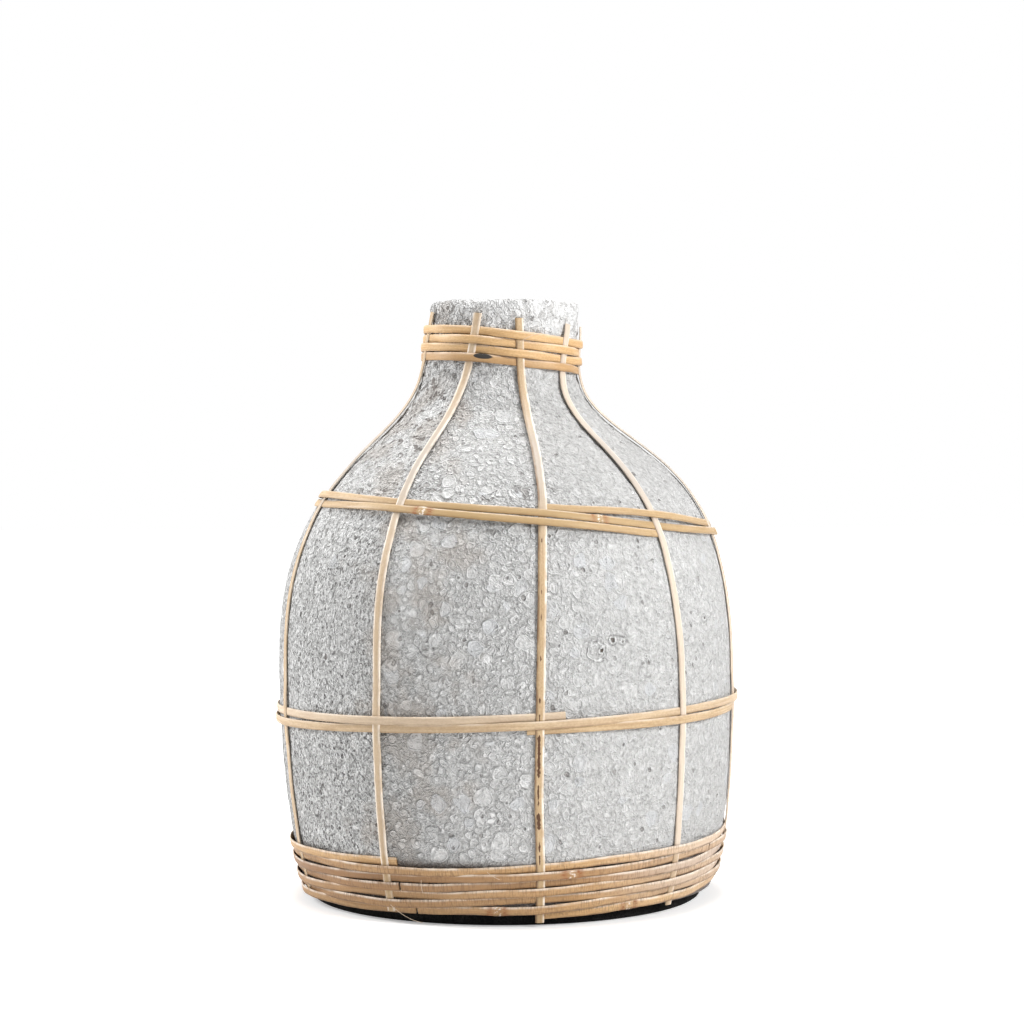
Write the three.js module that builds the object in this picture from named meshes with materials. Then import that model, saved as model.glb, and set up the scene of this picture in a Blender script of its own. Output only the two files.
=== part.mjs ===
// Bottle vase of rough concrete, bound in a net of split cane and standing on a felt pad.
// Millimetres, +Z up. The origin is the centre of the pad's underside.
// Angles are degrees round the axis, from the front (-Y) towards the right (+X).
// A place on the vessel is given by its angle and by how far along the wall it lies, from the floor up.
import * as THREE from "three";

// Felt pad, set in from the edge of the foot
const PAD_INSET = 3.5;
const PAD_THICKNESS = 5.5;

// Concrete vessel
const FOOT_RADIUS = 100;
const FOOT_ROUNDING = 4;
const BELLY_RADIUS = 112.7;
const BELLY_HEIGHT = 115.5;
const NECK_RADIUS = 37.8;
const NECK_HEIGHT = 267.5;
const MOUTH_RADIUS = 36.8;
const MOUTH_HEIGHT = 292.5;
const WALL_THICKNESS = 9;
const FLOOR_THICKNESS = 12;
const LIP_ROUNDING_SHARE = 1 / 3;
const GRIT_HEIGHT = 0.25;

// Swell of the wall: its slope at the foot, and the share of each rise over which a curve keeps its direction
const FOOT_SLOPE = 0.2;
const FOOT_HOLD = 0.14;
const BELLY_HOLD = 0.65;
const SHOULDER_HOLD = 0.76;
const NECK_HOLD = 0.35;

// Cane: upright stakes, and flat weavers that pass in turn under and over them
const STAKE_COUNT = 9;
const STAKE_WIDTH = 4.5;
const STAKE_THICKNESS = 1.3;
const STAKE_END_HEIGHT = 2.5;
const STAKE_STANDOUT = 8.4;
const STAKE_LIFT_RUN = 12;
const STAKE_BRIDGE = 1.5;
const FRONT_STAKE_ANGLE = 8.4;
const WEAVER_THICKNESS = 1.1;
const WEAVER_WIDTH = 3.9;
const CANE_CLEARANCE = 0.3;
const CROSSING_MARGIN = 1.5;

// Strays of the nine stakes from their even places, in degrees, at some shares of the wall's length
const STRAY_SHARES = [0.06, 0.19, 0.37, 0.56, 0.69, 0.78, 0.85, 0.9, 0.99];
const STAKE_STRAY_ANGLES = [
  [-0.2, -1.1, -0.3, 0.6, 2.3, 5, 7.6, 6.4, 1.8],
  [-0.5, -1.4, -1.6, -3.4, -4.8, -4.2, -1, 2.8, 9],
  [-4, -6, -8, -7, -3, -4, -6, -3, 4],
  [1, 0, -2, -2, -1, 0, 2, 3, 5],
  [-1, 0, 1, 2, 2, 3, 4, 3, 2],
  [0.5, 1, 0, -1, -2, -2, 0, 3, 5],
  [1, 0, -1, 0, 1, 0, -2, 0, 4],
  [2, 1, 1.5, 0, -3, -5, -7, -5, 5],
  [-0.5, -1.1, -0.7, -1, -0.8, 1.6, 4.6, 9.2, 12.5],
];

// Neck weave, which climbs from behind a stake at the back
const NECK_WEAVE_TURNS = 4;
const NECK_WEAVE_FIRST_STAKE = 5;
const NECK_WEAVE_DROP = 31.4;
const NECK_WEAVE_GAP = 0.45;
const NECK_WEAVE_LEAN = 4.7;
const NECK_WEAVE_HIGH_ANGLE = -90;

// Shoulder band, which winds down from behind the front stake and is tucked in behind the next one
const SHOULDER_BAND_TURNS = 2;
const SHOULDER_BAND_HEIGHT = 190.5;
const SHOULDER_BAND_GAP = 0.6;
const SHOULDER_BAND_LEAN = 11.7;
const SHOULDER_BAND_HIGH_ANGLE = -67;

// Belly band, whose two cut ends stand out on either side of the front stake
const BELLY_BAND_TURNS = 2;
const BELLY_BAND_HEIGHT = 89.6;
const BELLY_BAND_GAP = 0.7;
const BELLY_BAND_LEAN = 3.9;
const BELLY_BAND_HIGH_ANGLE = 90;
const BELLY_BAND_START_TAIL = 6;
const BELLY_BAND_END_TAIL = 12;

// Base weave, of several strips laid end to end: the joins are counted in turns
const BASE_WEAVE_TURNS = 7;
const BASE_WEAVE_HEIGHT = 6.6;
const BASE_WEAVER_WIDTH = 3.4;
const BASE_WEAVE_GAP = 0.5;
const BASE_WEAVE_LEAN = 4.2;
const BASE_WEAVE_HIGH_ANGLE = 110;
const BASE_WEAVE_END_TAIL = 6.5;
const BASE_WEAVE_JOIN_TURNS = [0.91, 3.9, 5.16];

// Shortest end of a cane, tucked in behind a stake
const HIDDEN_TAIL = 2;

// Fineness of the facets
const VESSEL_SIDES = 48;
const LOWER_WALL_STEPS = 10;
const UPPER_WALL_STEPS = 24;
const INNER_WALL_STEPS = 10;
const ROUNDING_STEPS = 3;
const WEAVER_STEP = 26;
const LEAST_WEAVER_STEPS = 3;
const CROWN_SHARE = 0.3;
const EDGE_SHARE = 0.6;
const HEIGHT_TOLERANCE = 0.001;

const UP = new THREE.Vector3(0, 0, 1);
const STAKE_SPACING = 360 / STAKE_COUNT;
const CANE_SEAT = GRIT_HEIGHT + CANE_CLEARANCE;
const STAKE_RAISED = CANE_SEAT + WEAVER_THICKNESS + CANE_CLEARANCE;
const WEAVER_OVER = STAKE_RAISED + STAKE_THICKNESS + CANE_CLEARANCE;

const concrete = new THREE.MeshStandardMaterial({ color: 0xb9b3ab, roughness: 0.95, metalness: 0 });
const cane = new THREE.MeshStandardMaterial({ color: 0xd9bb8e, roughness: 0.55, metalness: 0 });
const wovenCane = new THREE.MeshStandardMaterial({ color: 0xc9a273, roughness: 0.6, metalness: 0 });
const felt = new THREE.MeshStandardMaterial({ color: 0x151515, roughness: 1, metalness: 0 });

const vase = new THREE.Group();

function addPiece(name, geometry, material) {
  const piece = new THREE.Mesh(geometry, material);
  piece.name = name;
  vase.add(piece);
}

// Smooth step from 0 to 1
function ease(value) {
  return THREE.MathUtils.smoothstep(value, 0, 1);
}

// Outer line of the wall, as radius and height, drawn on straight to the floor below the vessel
function makeWall() {
  const floorPoint = new THREE.Vector2(FOOT_RADIUS - FOOT_SLOPE * PAD_THICKNESS, 0);
  const foot = new THREE.Vector2(FOOT_RADIUS, PAD_THICKNESS);
  const belly = new THREE.Vector2(BELLY_RADIUS, BELLY_HEIGHT);
  const neck = new THREE.Vector2(NECK_RADIUS, NECK_HEIGHT);
  const mouth = new THREE.Vector2(MOUTH_RADIUS, MOUTH_HEIGHT);
  const lowerRise = BELLY_HEIGHT - PAD_THICKNESS;
  const upperRise = NECK_HEIGHT - BELLY_HEIGHT;
  const footHold = FOOT_HOLD * lowerRise;
  const path = new THREE.CurvePath();
  path.add(new THREE.LineCurve(floorPoint, foot));
  path.add(new THREE.CubicBezierCurve(
    foot,
    new THREE.Vector2(FOOT_RADIUS + FOOT_SLOPE * footHold, PAD_THICKNESS + footHold),
    new THREE.Vector2(BELLY_RADIUS, BELLY_HEIGHT - BELLY_HOLD * lowerRise),
    belly,
  ));
  path.add(new THREE.CubicBezierCurve(
    belly,
    new THREE.Vector2(BELLY_RADIUS, BELLY_HEIGHT + SHOULDER_HOLD * upperRise),
    new THREE.Vector2(NECK_RADIUS, NECK_HEIGHT - NECK_HOLD * upperRise),
    neck,
  ));
  path.add(new THREE.LineCurve(neck, mouth));
  return path;
}

const wall = makeWall();
const WALL_LENGTH = wall.getLength();
const [FLOOR_END, BELLY_ALONG, NECK_ALONG] = wall.getCurveLengths();

// Distances along the wall at which its facets meet
function stepsBetween(from, to, count) {
  return Array.from({ length: count }, (_, step) => THREE.MathUtils.lerp(from, to, (step + 1) / count));
}

const footTop = FLOOR_END + FOOT_ROUNDING;
const wallSteps = [
  ...stepsBetween(footTop, BELLY_ALONG, LOWER_WALL_STEPS),
  ...stepsBetween(BELLY_ALONG, NECK_ALONG, UPPER_WALL_STEPS),
];

// Radius and height of the wall at a distance along it, with the direction in which it rises.
// Above the mouth the line goes straight on.
function wallAt(along) {
  const share = THREE.MathUtils.clamp(along / WALL_LENGTH, 0, 1);
  const rise = wall.getTangent(share);
  const point = wall.getPoint(share).addScaledVector(rise, Math.max(along - WALL_LENGTH, 0));
  return { radius: point.x, height: point.y, rise };
}

// Distance along the wall at which heightOf, which grows with it, reaches a height
function alongWhere(heightOf, height) {
  let low = 0;
  let high = WALL_LENGTH;
  while (high - low > HEIGHT_TOLERANCE) {
    const middle = (low + high) / 2;
    if (heightOf(middle) < height) {
      low = middle;
    } else {
      high = middle;
    }
  }
  return (low + high) / 2;
}

function alongAtHeight(height) {
  return alongWhere((along) => wallAt(along).height, height);
}

// Inner face of the wall, one wall thickness inside the outer line
function innerWallAt(along) {
  const { radius, height, rise } = wallAt(along);
  return new THREE.Vector2(radius - WALL_THICKNESS * rise.y, height + WALL_THICKNESS * rise.x);
}

function makeVessel() {
  const floorHeight = PAD_THICKNESS + FLOOR_THICKNESS;
  const rounding = LIP_ROUNDING_SHARE * WALL_THICKNESS;
  const lipStart = WALL_LENGTH - rounding;
  const innerStart = alongWhere((along) => innerWallAt(along).y, floorHeight);
  const outerWallAt = (along) => new THREE.Vector2(wallAt(along).radius, wallAt(along).height);
  const foot = new THREE.QuadraticBezierCurve(
    new THREE.Vector2(FOOT_RADIUS - FOOT_ROUNDING, PAD_THICKNESS),
    new THREE.Vector2(FOOT_RADIUS, PAD_THICKNESS),
    outerWallAt(footTop),
  );
  const outerLip = new THREE.QuadraticBezierCurve(
    outerWallAt(lipStart),
    new THREE.Vector2(MOUTH_RADIUS, MOUTH_HEIGHT),
    new THREE.Vector2(MOUTH_RADIUS - rounding, MOUTH_HEIGHT),
  );
  const innerLip = new THREE.QuadraticBezierCurve(
    new THREE.Vector2(MOUTH_RADIUS - WALL_THICKNESS + rounding, MOUTH_HEIGHT),
    new THREE.Vector2(MOUTH_RADIUS - WALL_THICKNESS, MOUTH_HEIGHT),
    innerWallAt(lipStart),
  );
  const outline = [
    new THREE.Vector2(0, PAD_THICKNESS),
    ...foot.getPoints(ROUNDING_STEPS),
    ...wallSteps.map(outerWallAt),
    ...outerLip.getPoints(ROUNDING_STEPS),
    ...innerLip.getPoints(ROUNDING_STEPS),
    ...stepsBetween(lipStart, innerStart, INNER_WALL_STEPS).map(innerWallAt),
  ];
  outline.push(new THREE.Vector2(0, outline.at(-1).y));
  return new THREE.LatheGeometry(outline, VESSEL_SIDES).rotateX(Math.PI / 2);
}

function makePad() {
  const radius = FOOT_RADIUS - PAD_INSET;
  const disc = new THREE.CylinderGeometry(radius, radius, PAD_THICKNESS, VESSEL_SIDES);
  return disc.rotateX(Math.PI / 2).translate(0, 0, PAD_THICKNESS / 2);
}

// A point at a distance off the wall, with the direction away from the wall there
function spotOff(along, angle, off) {
  const { radius, height, rise } = wallAt(along);
  const turn = THREE.MathUtils.degToRad(angle);
  const outward = new THREE.Vector3(Math.sin(turn), -Math.cos(turn), 0);
  const away = outward.clone().multiplyScalar(rise.y).addScaledVector(UP, -rise.x);
  const point = outward.multiplyScalar(radius).addScaledVector(UP, height).addScaledVector(away, off);
  return { point, away };
}

// Corner points of a strip of cane at each spot: flat on its inner face and crowned on its outer face
function stripRings(spots, width, thickness) {
  const crown = CROWN_SHARE * width;
  const edge = EDGE_SHARE * thickness;
  const section = [
    [-width / 2, 0],
    [width / 2, 0],
    [width / 2, edge],
    [crown, thickness],
    [-crown, thickness],
    [-width / 2, edge],
  ];
  return spots.map(({ point, away }, index) => {
    const before = spots[Math.max(index - 1, 0)].point;
    const after = spots[Math.min(index + 1, spots.length - 1)].point;
    const across = after.clone().sub(before).cross(away).normalize();
    return section.map(([side, out]) => {
      return point.clone().addScaledVector(across, side).addScaledVector(away, out);
    });
  });
}

// Closed strip through a row of rings
function stripGeometry(rings) {
  const sides = rings[0].length;
  const faces = [];
  for (let ring = 0; ring + 1 < rings.length; ring += 1) {
    for (let side = 0; side < sides; side += 1) {
      const here = ring * sides + side;
      const beside = ring * sides + ((side + 1) % sides);
      faces.push(here, here + sides, beside, beside, here + sides, beside + sides);
    }
  }
  const last = (rings.length - 1) * sides;
  for (let side = 1; side + 1 < sides; side += 1) {
    faces.push(0, side, side + 1, last, last + side + 1, last + side);
  }
  return new THREE.BufferGeometry().setFromPoints(rings.flat()).setIndex(faces);
}

// How far one stake strays from its even place, between the places in the table
function strayOf(stake, along) {
  const strays = STAKE_STRAY_ANGLES[stake % STAKE_COUNT];
  const place = along / WALL_LENGTH;
  const next = STRAY_SHARES.findIndex((share) => share > place);
  if (next <= 0) {
    return strays.at(next);
  }
  const share = THREE.MathUtils.inverseLerp(STRAY_SHARES[next - 1], STRAY_SHARES[next], place);
  return THREE.MathUtils.lerp(strays[next - 1], strays[next], share);
}

// Angle of a stake, or of a place between two stakes when the count isn't whole
function stakeAngle(stake, along) {
  const before = Math.floor(stake) + STAKE_COUNT;
  const share = stake - Math.floor(stake);
  const stray = THREE.MathUtils.lerp(strayOf(before, along), strayOf(before + 1, along), share);
  return FRONT_STAKE_ANGLE + stake * STAKE_SPACING + stray;
}

// Weaves: passes counts the stakes between the two ends, climb is 1 upwards and -1 downwards
const neckWeave = {
  firstStake: NECK_WEAVE_FIRST_STAKE,
  passes: NECK_WEAVE_TURNS * STAKE_COUNT,
  start: WALL_LENGTH - NECK_WEAVE_DROP,
  climb: 1,
  width: WEAVER_WIDTH,
  gap: NECK_WEAVE_GAP,
  lean: NECK_WEAVE_LEAN,
  highAngle: NECK_WEAVE_HIGH_ANGLE,
};
const shoulderBand = {
  firstStake: 0,
  passes: SHOULDER_BAND_TURNS * STAKE_COUNT + 1,
  start: alongAtHeight(SHOULDER_BAND_HEIGHT),
  climb: -1,
  width: WEAVER_WIDTH,
  gap: SHOULDER_BAND_GAP,
  lean: SHOULDER_BAND_LEAN,
  highAngle: SHOULDER_BAND_HIGH_ANGLE,
};
const bellyBand = {
  firstStake: 0,
  passes: BELLY_BAND_TURNS * STAKE_COUNT,
  start: alongAtHeight(BELLY_BAND_HEIGHT),
  climb: 1,
  width: WEAVER_WIDTH,
  gap: BELLY_BAND_GAP,
  lean: BELLY_BAND_LEAN,
  highAngle: BELLY_BAND_HIGH_ANGLE,
};
const baseWeave = {
  firstStake: 0,
  passes: BASE_WEAVE_TURNS * STAKE_COUNT - 1,
  start: alongAtHeight(BASE_WEAVE_HEIGHT),
  climb: 1,
  width: BASE_WEAVER_WIDTH,
  gap: BASE_WEAVE_GAP,
  lean: BASE_WEAVE_LEAN,
  highAngle: BASE_WEAVE_HIGH_ANGLE,
};
const weaves = [neckWeave, shoulderBand, bellyBand, baseWeave];

// Distance along the wall at which a weave lies after a number of passes
function weaveAlong(weave, pass) {
  const angle = FRONT_STAKE_ANGLE + (weave.firstStake + pass) * STAKE_SPACING;
  const lean = weave.lean * Math.cos(THREE.MathUtils.degToRad(angle - weave.highAngle));
  return weave.start + (weave.climb * (weave.width + weave.gap) * pass) / STAKE_COUNT + lean;
}

// A weaver goes over every second stake; the end of the shoulder band skips one, to be tucked in
function goesOver(weave, pass) {
  const tucked = weave === shoulderBand && pass >= weave.passes - 1;
  return (pass % 2 === 1) !== tucked;
}

// How far a weaver lies off the wall, on its way from one stake to the next
function weaverOff(weave, pass, flat) {
  const stake = THREE.MathUtils.clamp(Math.floor(pass), 0, weave.passes - 1);
  const from = goesOver(weave, stake) ? WEAVER_OVER : CANE_SEAT;
  const to = goesOver(weave, stake + 1) ? WEAVER_OVER : CANE_SEAT;
  return THREE.MathUtils.lerp(from, to, ease((pass - stake - flat) / (1 - 2 * flat)));
}

// Length of one pass, from stake to stake
function passLength(weave) {
  return wallAt(weave.start).radius * THREE.MathUtils.degToRad(STAKE_SPACING);
}

// Spots of a weaver from one count of passes to another: flat at each stake, with steps between them
function weaverSpots(weave, from, to) {
  const radius = wallAt(weave.start).radius;
  const length = passLength(weave);
  const flatHalf = STAKE_WIDTH / 2 + CROSSING_MARGIN;
  const flat = flatHalf / length;
  const steps = Math.max(LEAST_WEAVER_STEPS, Math.ceil((length - 2 * flatHalf) / WEAVER_STEP));
  const chord = (length - 2 * flatHalf) / steps;
  const endStation = (pass) => ({ pass, atStake: Math.abs(pass - Math.round(pass)) <= flat });
  const stations = [endStation(from)];
  for (let stake = Math.floor(from); stake <= Math.ceil(to); stake += 1) {
    for (let step = 0; step <= steps; step += 1) {
      const pass = stake + flat + ((1 - 2 * flat) * step) / steps;
      if (pass > from + flat / 2 && pass < to - flat / 2) {
        stations.push({ pass, atStake: step === 0 || step === steps });
      }
    }
  }
  stations.push(endStation(to));
  return stations.map(({ pass, atStake }) => {
    const sagitta = atStake ? (flatHalf * flatHalf) / (2 * radius) : (chord * chord) / (8 * radius);
    const along = weaveAlong(weave, pass);
    const angle = stakeAngle(weave.firstStake + pass, along);
    return spotOff(along, angle, weaverOff(weave, pass, flat) + sagitta);
  });
}

// Least distance between the corner points of a strip's turns
function leastGap(rings, ringsPerTurn) {
  let least = Infinity;
  for (let ring = 0; ring < rings.length; ring += 1) {
    for (let other = ring + Math.floor(ringsPerTurn / 2); other < rings.length; other += 1) {
      for (const corner of rings[ring]) {
        for (const otherCorner of rings[other]) {
          least = Math.min(least, corner.distanceTo(otherCorner));
        }
      }
    }
  }
  return least;
}

function addWeaver(name, weave, from, to, material) {
  const rings = stripRings(weaverSpots(weave, from, to), weave.width, WEAVER_THICKNESS);
  const turns = (to - from) / STAKE_COUNT;
  if (turns > 1) {
    const gap = leastGap(rings, rings.length / turns);
    console.log(`${name}: ${turns.toFixed(2)} turns, least gap ${gap.toFixed(2)} mm`);
  }
  addPiece(name, stripGeometry(rings), material);
}

// Stretches of the wall where weavers cross a stake
function crossingStretches(stake) {
  return weaves.map((weave) => {
    const crossings = [];
    for (let pass = 0; pass <= weave.passes; pass += 1) {
      if ((weave.firstStake + pass) % STAKE_COUNT === stake) {
        crossings.push(weaveAlong(weave, pass));
      }
    }
    const half = weave.width / 2 + CROSSING_MARGIN;
    return { low: Math.min(...crossings) - half, high: Math.max(...crossings) + half };
  });
}

// A stake lies on the wall, is raised where weavers pass under it, and bridges the hollow below the neck
function stakeSpots(stake) {
  const stretches = crossingStretches(stake);
  const neckTop = stretches[0].high - WEAVER_WIDTH / 2 - CROSSING_MARGIN;
  const start = alongAtHeight(STAKE_END_HEIGHT);
  const end = neckTop + STAKE_STANDOUT;
  const bridgeStart = stretches[1].high;
  const bridgeLength = stretches[0].low - bridgeStart;
  const stations = [...wallSteps];
  for (const { low, high } of stretches) {
    stations.push(low, high);
  }
  const inside = stations.filter((along) => along > start && along < end).sort((a, b) => a - b);
  return [start, ...inside, end].map((along) => {
    const nearest = Math.min(...stretches.map(({ low, high }) => Math.max(low - along, along - high, 0)));
    const raised = 1 - ease(nearest / STAKE_LIFT_RUN);
    const bridge = Math.sin(Math.PI * THREE.MathUtils.clamp((along - bridgeStart) / bridgeLength, 0, 1));
    const off = THREE.MathUtils.lerp(CANE_SEAT, STAKE_RAISED, raised) + STAKE_BRIDGE * bridge;
    return spotOff(along, stakeAngle(stake, along), off);
  });
}

addPiece("vessel", makeVessel(), concrete);
addPiece("felt_pad", makePad(), felt);

for (let stake = 0; stake < STAKE_COUNT; stake += 1) {
  const rings = stripRings(stakeSpots(stake), STAKE_WIDTH, STAKE_THICKNESS);
  addPiece(`stake_${stake + 1}`, stripGeometry(rings), cane);
}

// Lengths along a weaver, counted in passes
function inPasses(weave, length) {
  return length / passLength(weave);
}

const neckTail = inPasses(neckWeave, HIDDEN_TAIL);
addWeaver("neck_weave", neckWeave, -neckTail, neckWeave.passes + neckTail, wovenCane);

const shoulderTail = inPasses(shoulderBand, HIDDEN_TAIL);
addWeaver("shoulder_band", shoulderBand, -shoulderTail, shoulderBand.passes + shoulderTail, cane);

const bellyStart = -inPasses(bellyBand, BELLY_BAND_START_TAIL);
const bellyEnd = bellyBand.passes + inPasses(bellyBand, BELLY_BAND_END_TAIL);
addWeaver("belly_band", bellyBand, bellyStart, bellyEnd, cane);

const baseStart = -inPasses(baseWeave, HIDDEN_TAIL);
const baseEnd = baseWeave.passes + inPasses(baseWeave, BASE_WEAVE_END_TAIL);
const joinHalf = inPasses(baseWeave, CANE_CLEARANCE) / 2;
const joins = BASE_WEAVE_JOIN_TURNS.map((turns) => turns * STAKE_COUNT);
const baseJoins = [baseStart - joinHalf, ...joins, baseEnd + joinHalf];
for (let strip = 0; strip + 1 < baseJoins.length; strip += 1) {
  const from = baseJoins[strip] + joinHalf;
  const to = baseJoins[strip + 1] - joinHalf;
  addWeaver(`base_weave_${strip + 1}`, baseWeave, from, to, wovenCane);
}

export default vase;
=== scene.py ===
# %% [markdown]
# # A concrete vase in a cane net
#
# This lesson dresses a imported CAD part. The part is a bottle of rough concrete, bound in a net of split
# cane and standing on a felt pad. The CAD gives every piece its place and size. Here each piece gets the
# surface of the real one: bubbled and pitted concrete, half-round canes with grain and knots, and felt
# with a frayed edge.
#
# The frame is in metres with +Z up. The origin is the centre of the pad's underside, and -Y faces the
# camera. Angles are degrees round the axis, from the front towards the right.

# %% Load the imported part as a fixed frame
import math
from types import SimpleNamespace

import bpy
import numpy as np
from mathutils import Matrix, Vector


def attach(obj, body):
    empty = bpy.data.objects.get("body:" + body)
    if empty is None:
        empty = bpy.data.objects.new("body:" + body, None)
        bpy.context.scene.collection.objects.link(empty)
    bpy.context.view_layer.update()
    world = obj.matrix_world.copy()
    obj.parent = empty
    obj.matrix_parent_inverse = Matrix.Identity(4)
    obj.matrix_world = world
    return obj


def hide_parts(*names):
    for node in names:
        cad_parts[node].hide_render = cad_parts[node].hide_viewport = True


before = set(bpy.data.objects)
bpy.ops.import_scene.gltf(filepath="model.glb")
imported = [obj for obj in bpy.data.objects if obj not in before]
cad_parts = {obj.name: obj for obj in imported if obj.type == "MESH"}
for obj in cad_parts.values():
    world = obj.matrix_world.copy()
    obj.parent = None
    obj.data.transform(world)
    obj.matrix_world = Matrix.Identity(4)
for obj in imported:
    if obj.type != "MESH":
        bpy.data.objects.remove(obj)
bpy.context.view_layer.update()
print("CAD nodes:", len(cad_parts))

# %% [markdown]
# ## The wall rule
#
# Every piece lies on the vessel's wall, so the wall comes first. The CAD draws it as a straight line from
# the floor to the foot, a curve up to the belly, a second curve up to the neck and a straight line to the
# mouth. The same line is written here as points, with the distance along it. One could read the wall from
# the CAD mesh instead, but a rule gives a place and a direction at any distance, and the canes need both.

# %% Draw the wall as points and directions
PAD_TOP = 0.0055
FOOT_RADIUS = 0.101
BELLY_RADIUS = 0.1127
BELLY_HEIGHT = 0.1155
NECK_RADIUS = 0.0378
NECK_HEIGHT = 0.2675
MOUTH_RADIUS = 0.0368
MOUTH_HEIGHT = 0.2935
FOOT_SLOPE = 0.2
FOOT_HOLD = 0.14
BELLY_HOLD = 0.65
SHOULDER_HOLD = 0.76
NECK_HOLD = 0.35
ABOVE_MOUTH = 0.03


def bezier(a, b, c, d, count=300):
    t = np.linspace(0, 1, count)[:, None]
    return (1 - t) ** 3 * a + 3 * (1 - t) ** 2 * t * b + 3 * (1 - t) * t ** 2 * c + t ** 3 * d


def wall_line():
    """Points (radius, height) of the outer wall, from the floor to a little above the mouth."""
    lower, upper = BELLY_HEIGHT - PAD_TOP, NECK_HEIGHT - BELLY_HEIGHT
    hold = FOOT_HOLD * lower
    floor_point = np.array([FOOT_RADIUS - FOOT_SLOPE * PAD_TOP, 0])
    foot, belly = np.array([FOOT_RADIUS, PAD_TOP]), np.array([BELLY_RADIUS, BELLY_HEIGHT])
    neck, mouth = np.array([NECK_RADIUS, NECK_HEIGHT]), np.array([MOUTH_RADIUS, MOUTH_HEIGHT])
    swell = bezier(foot, foot + (FOOT_SLOPE * hold, hold), belly - (0, BELLY_HOLD * lower), belly)
    shoulder = bezier(belly, belly + (0, SHOULDER_HOLD * upper), neck - (0, NECK_HOLD * upper), neck)
    rise = (mouth - neck) / np.linalg.norm(mouth - neck)
    return np.vstack([floor_point, swell, shoulder[1:], mouth, mouth + ABOVE_MOUTH * rise])


WALL = wall_line()
STEPS = np.linalg.norm(np.diff(WALL, axis=0), axis=1)
ALONG = np.concatenate([[0], np.cumsum(STEPS)])
MIDDLES = (ALONG[1:] + ALONG[:-1]) / 2
RISES = np.diff(WALL, axis=0) / STEPS[:, None]
WALL_LENGTH = ALONG[-2]
print(f"wall {WALL_LENGTH * 1000:.1f} mm long from floor to mouth")

# %% [markdown]
# ## Places on the wall
#
# A cast bottle is never quite true: this one's axis bends a little to one side and back. A short table
# gives that lean at some heights. Reading a table by straight lines would leave kinks, so each reading is
# averaged over a little way either side. The vessel and its canes all take their places from here, and so
# they lean together.

# %% Find places on the leaning wall
UP = np.array([0, 0, 1.0])
LEAN_HALF = 0.012
LEANS = (
    (0, 0.0008), (0.065, 0.0007), (0.1, 0.0002), (0.15, 0.0002),
    (0.205, 0.0015), (0.24, -0.0026), (0.256, -0.0028), (0.29, 0.0004),
)


def smooth_table(value, table, half):
    """Entry of a table of (place, entry) at a value, averaged over half a width either side."""
    shifts = np.linspace(-half, half, 9)
    return np.mean([np.interp(value + shift, *np.transpose(table)) for shift in shifts], axis=0)


def lean_at(height):
    """How far the axis lies to the right at a height."""
    return smooth_table(height, LEANS, LEAN_HALF)


def along_at_height(height):
    return float(np.interp(height, WALL[:, 1], ALONG))


def wall_points(along):
    """Radius and height of the wall at distances along it."""
    return np.stack([np.interp(along, ALONG, WALL[:, axis]) for axis in (0, 1)], axis=1)


def wall_rises(along):
    """Direction in which the wall climbs at distances along it."""
    return np.stack([np.interp(along, MIDDLES, RISES[:, axis]) for axis in (0, 1)], axis=1)


def spots_off(along, angle, off):
    """Points off the wall, and the directions away from it there."""
    radius, height = wall_points(along).T[:, :, None]
    rise = wall_rises(along)
    rise /= np.linalg.norm(rise, axis=1, keepdims=True)
    turn = np.radians(angle)
    outward = np.stack([np.sin(turn), -np.cos(turn), np.zeros_like(turn)], axis=1)
    away = outward * rise[:, 1:] - UP * rise[:, :1]
    points = outward * radius + UP * height + away * np.asarray(off)[:, None]
    points[:, 0] += lean_at(height[:, 0])
    return points, away


print(f"the axis leans {lean_at(NECK_HEIGHT) * 1000:.1f} mm at the neck")

# %% [markdown]
# ## Helpers for node trees
#
# Shapes and materials are both made by nodes. A small helper adds a node, sets its options and fills its
# inputs. An input takes a number or another node's output alike, so a tree reads from top to bottom like a
# formula. Linking nodes by hand in the editor would do the same, but it can't be read or changed as text.


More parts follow.
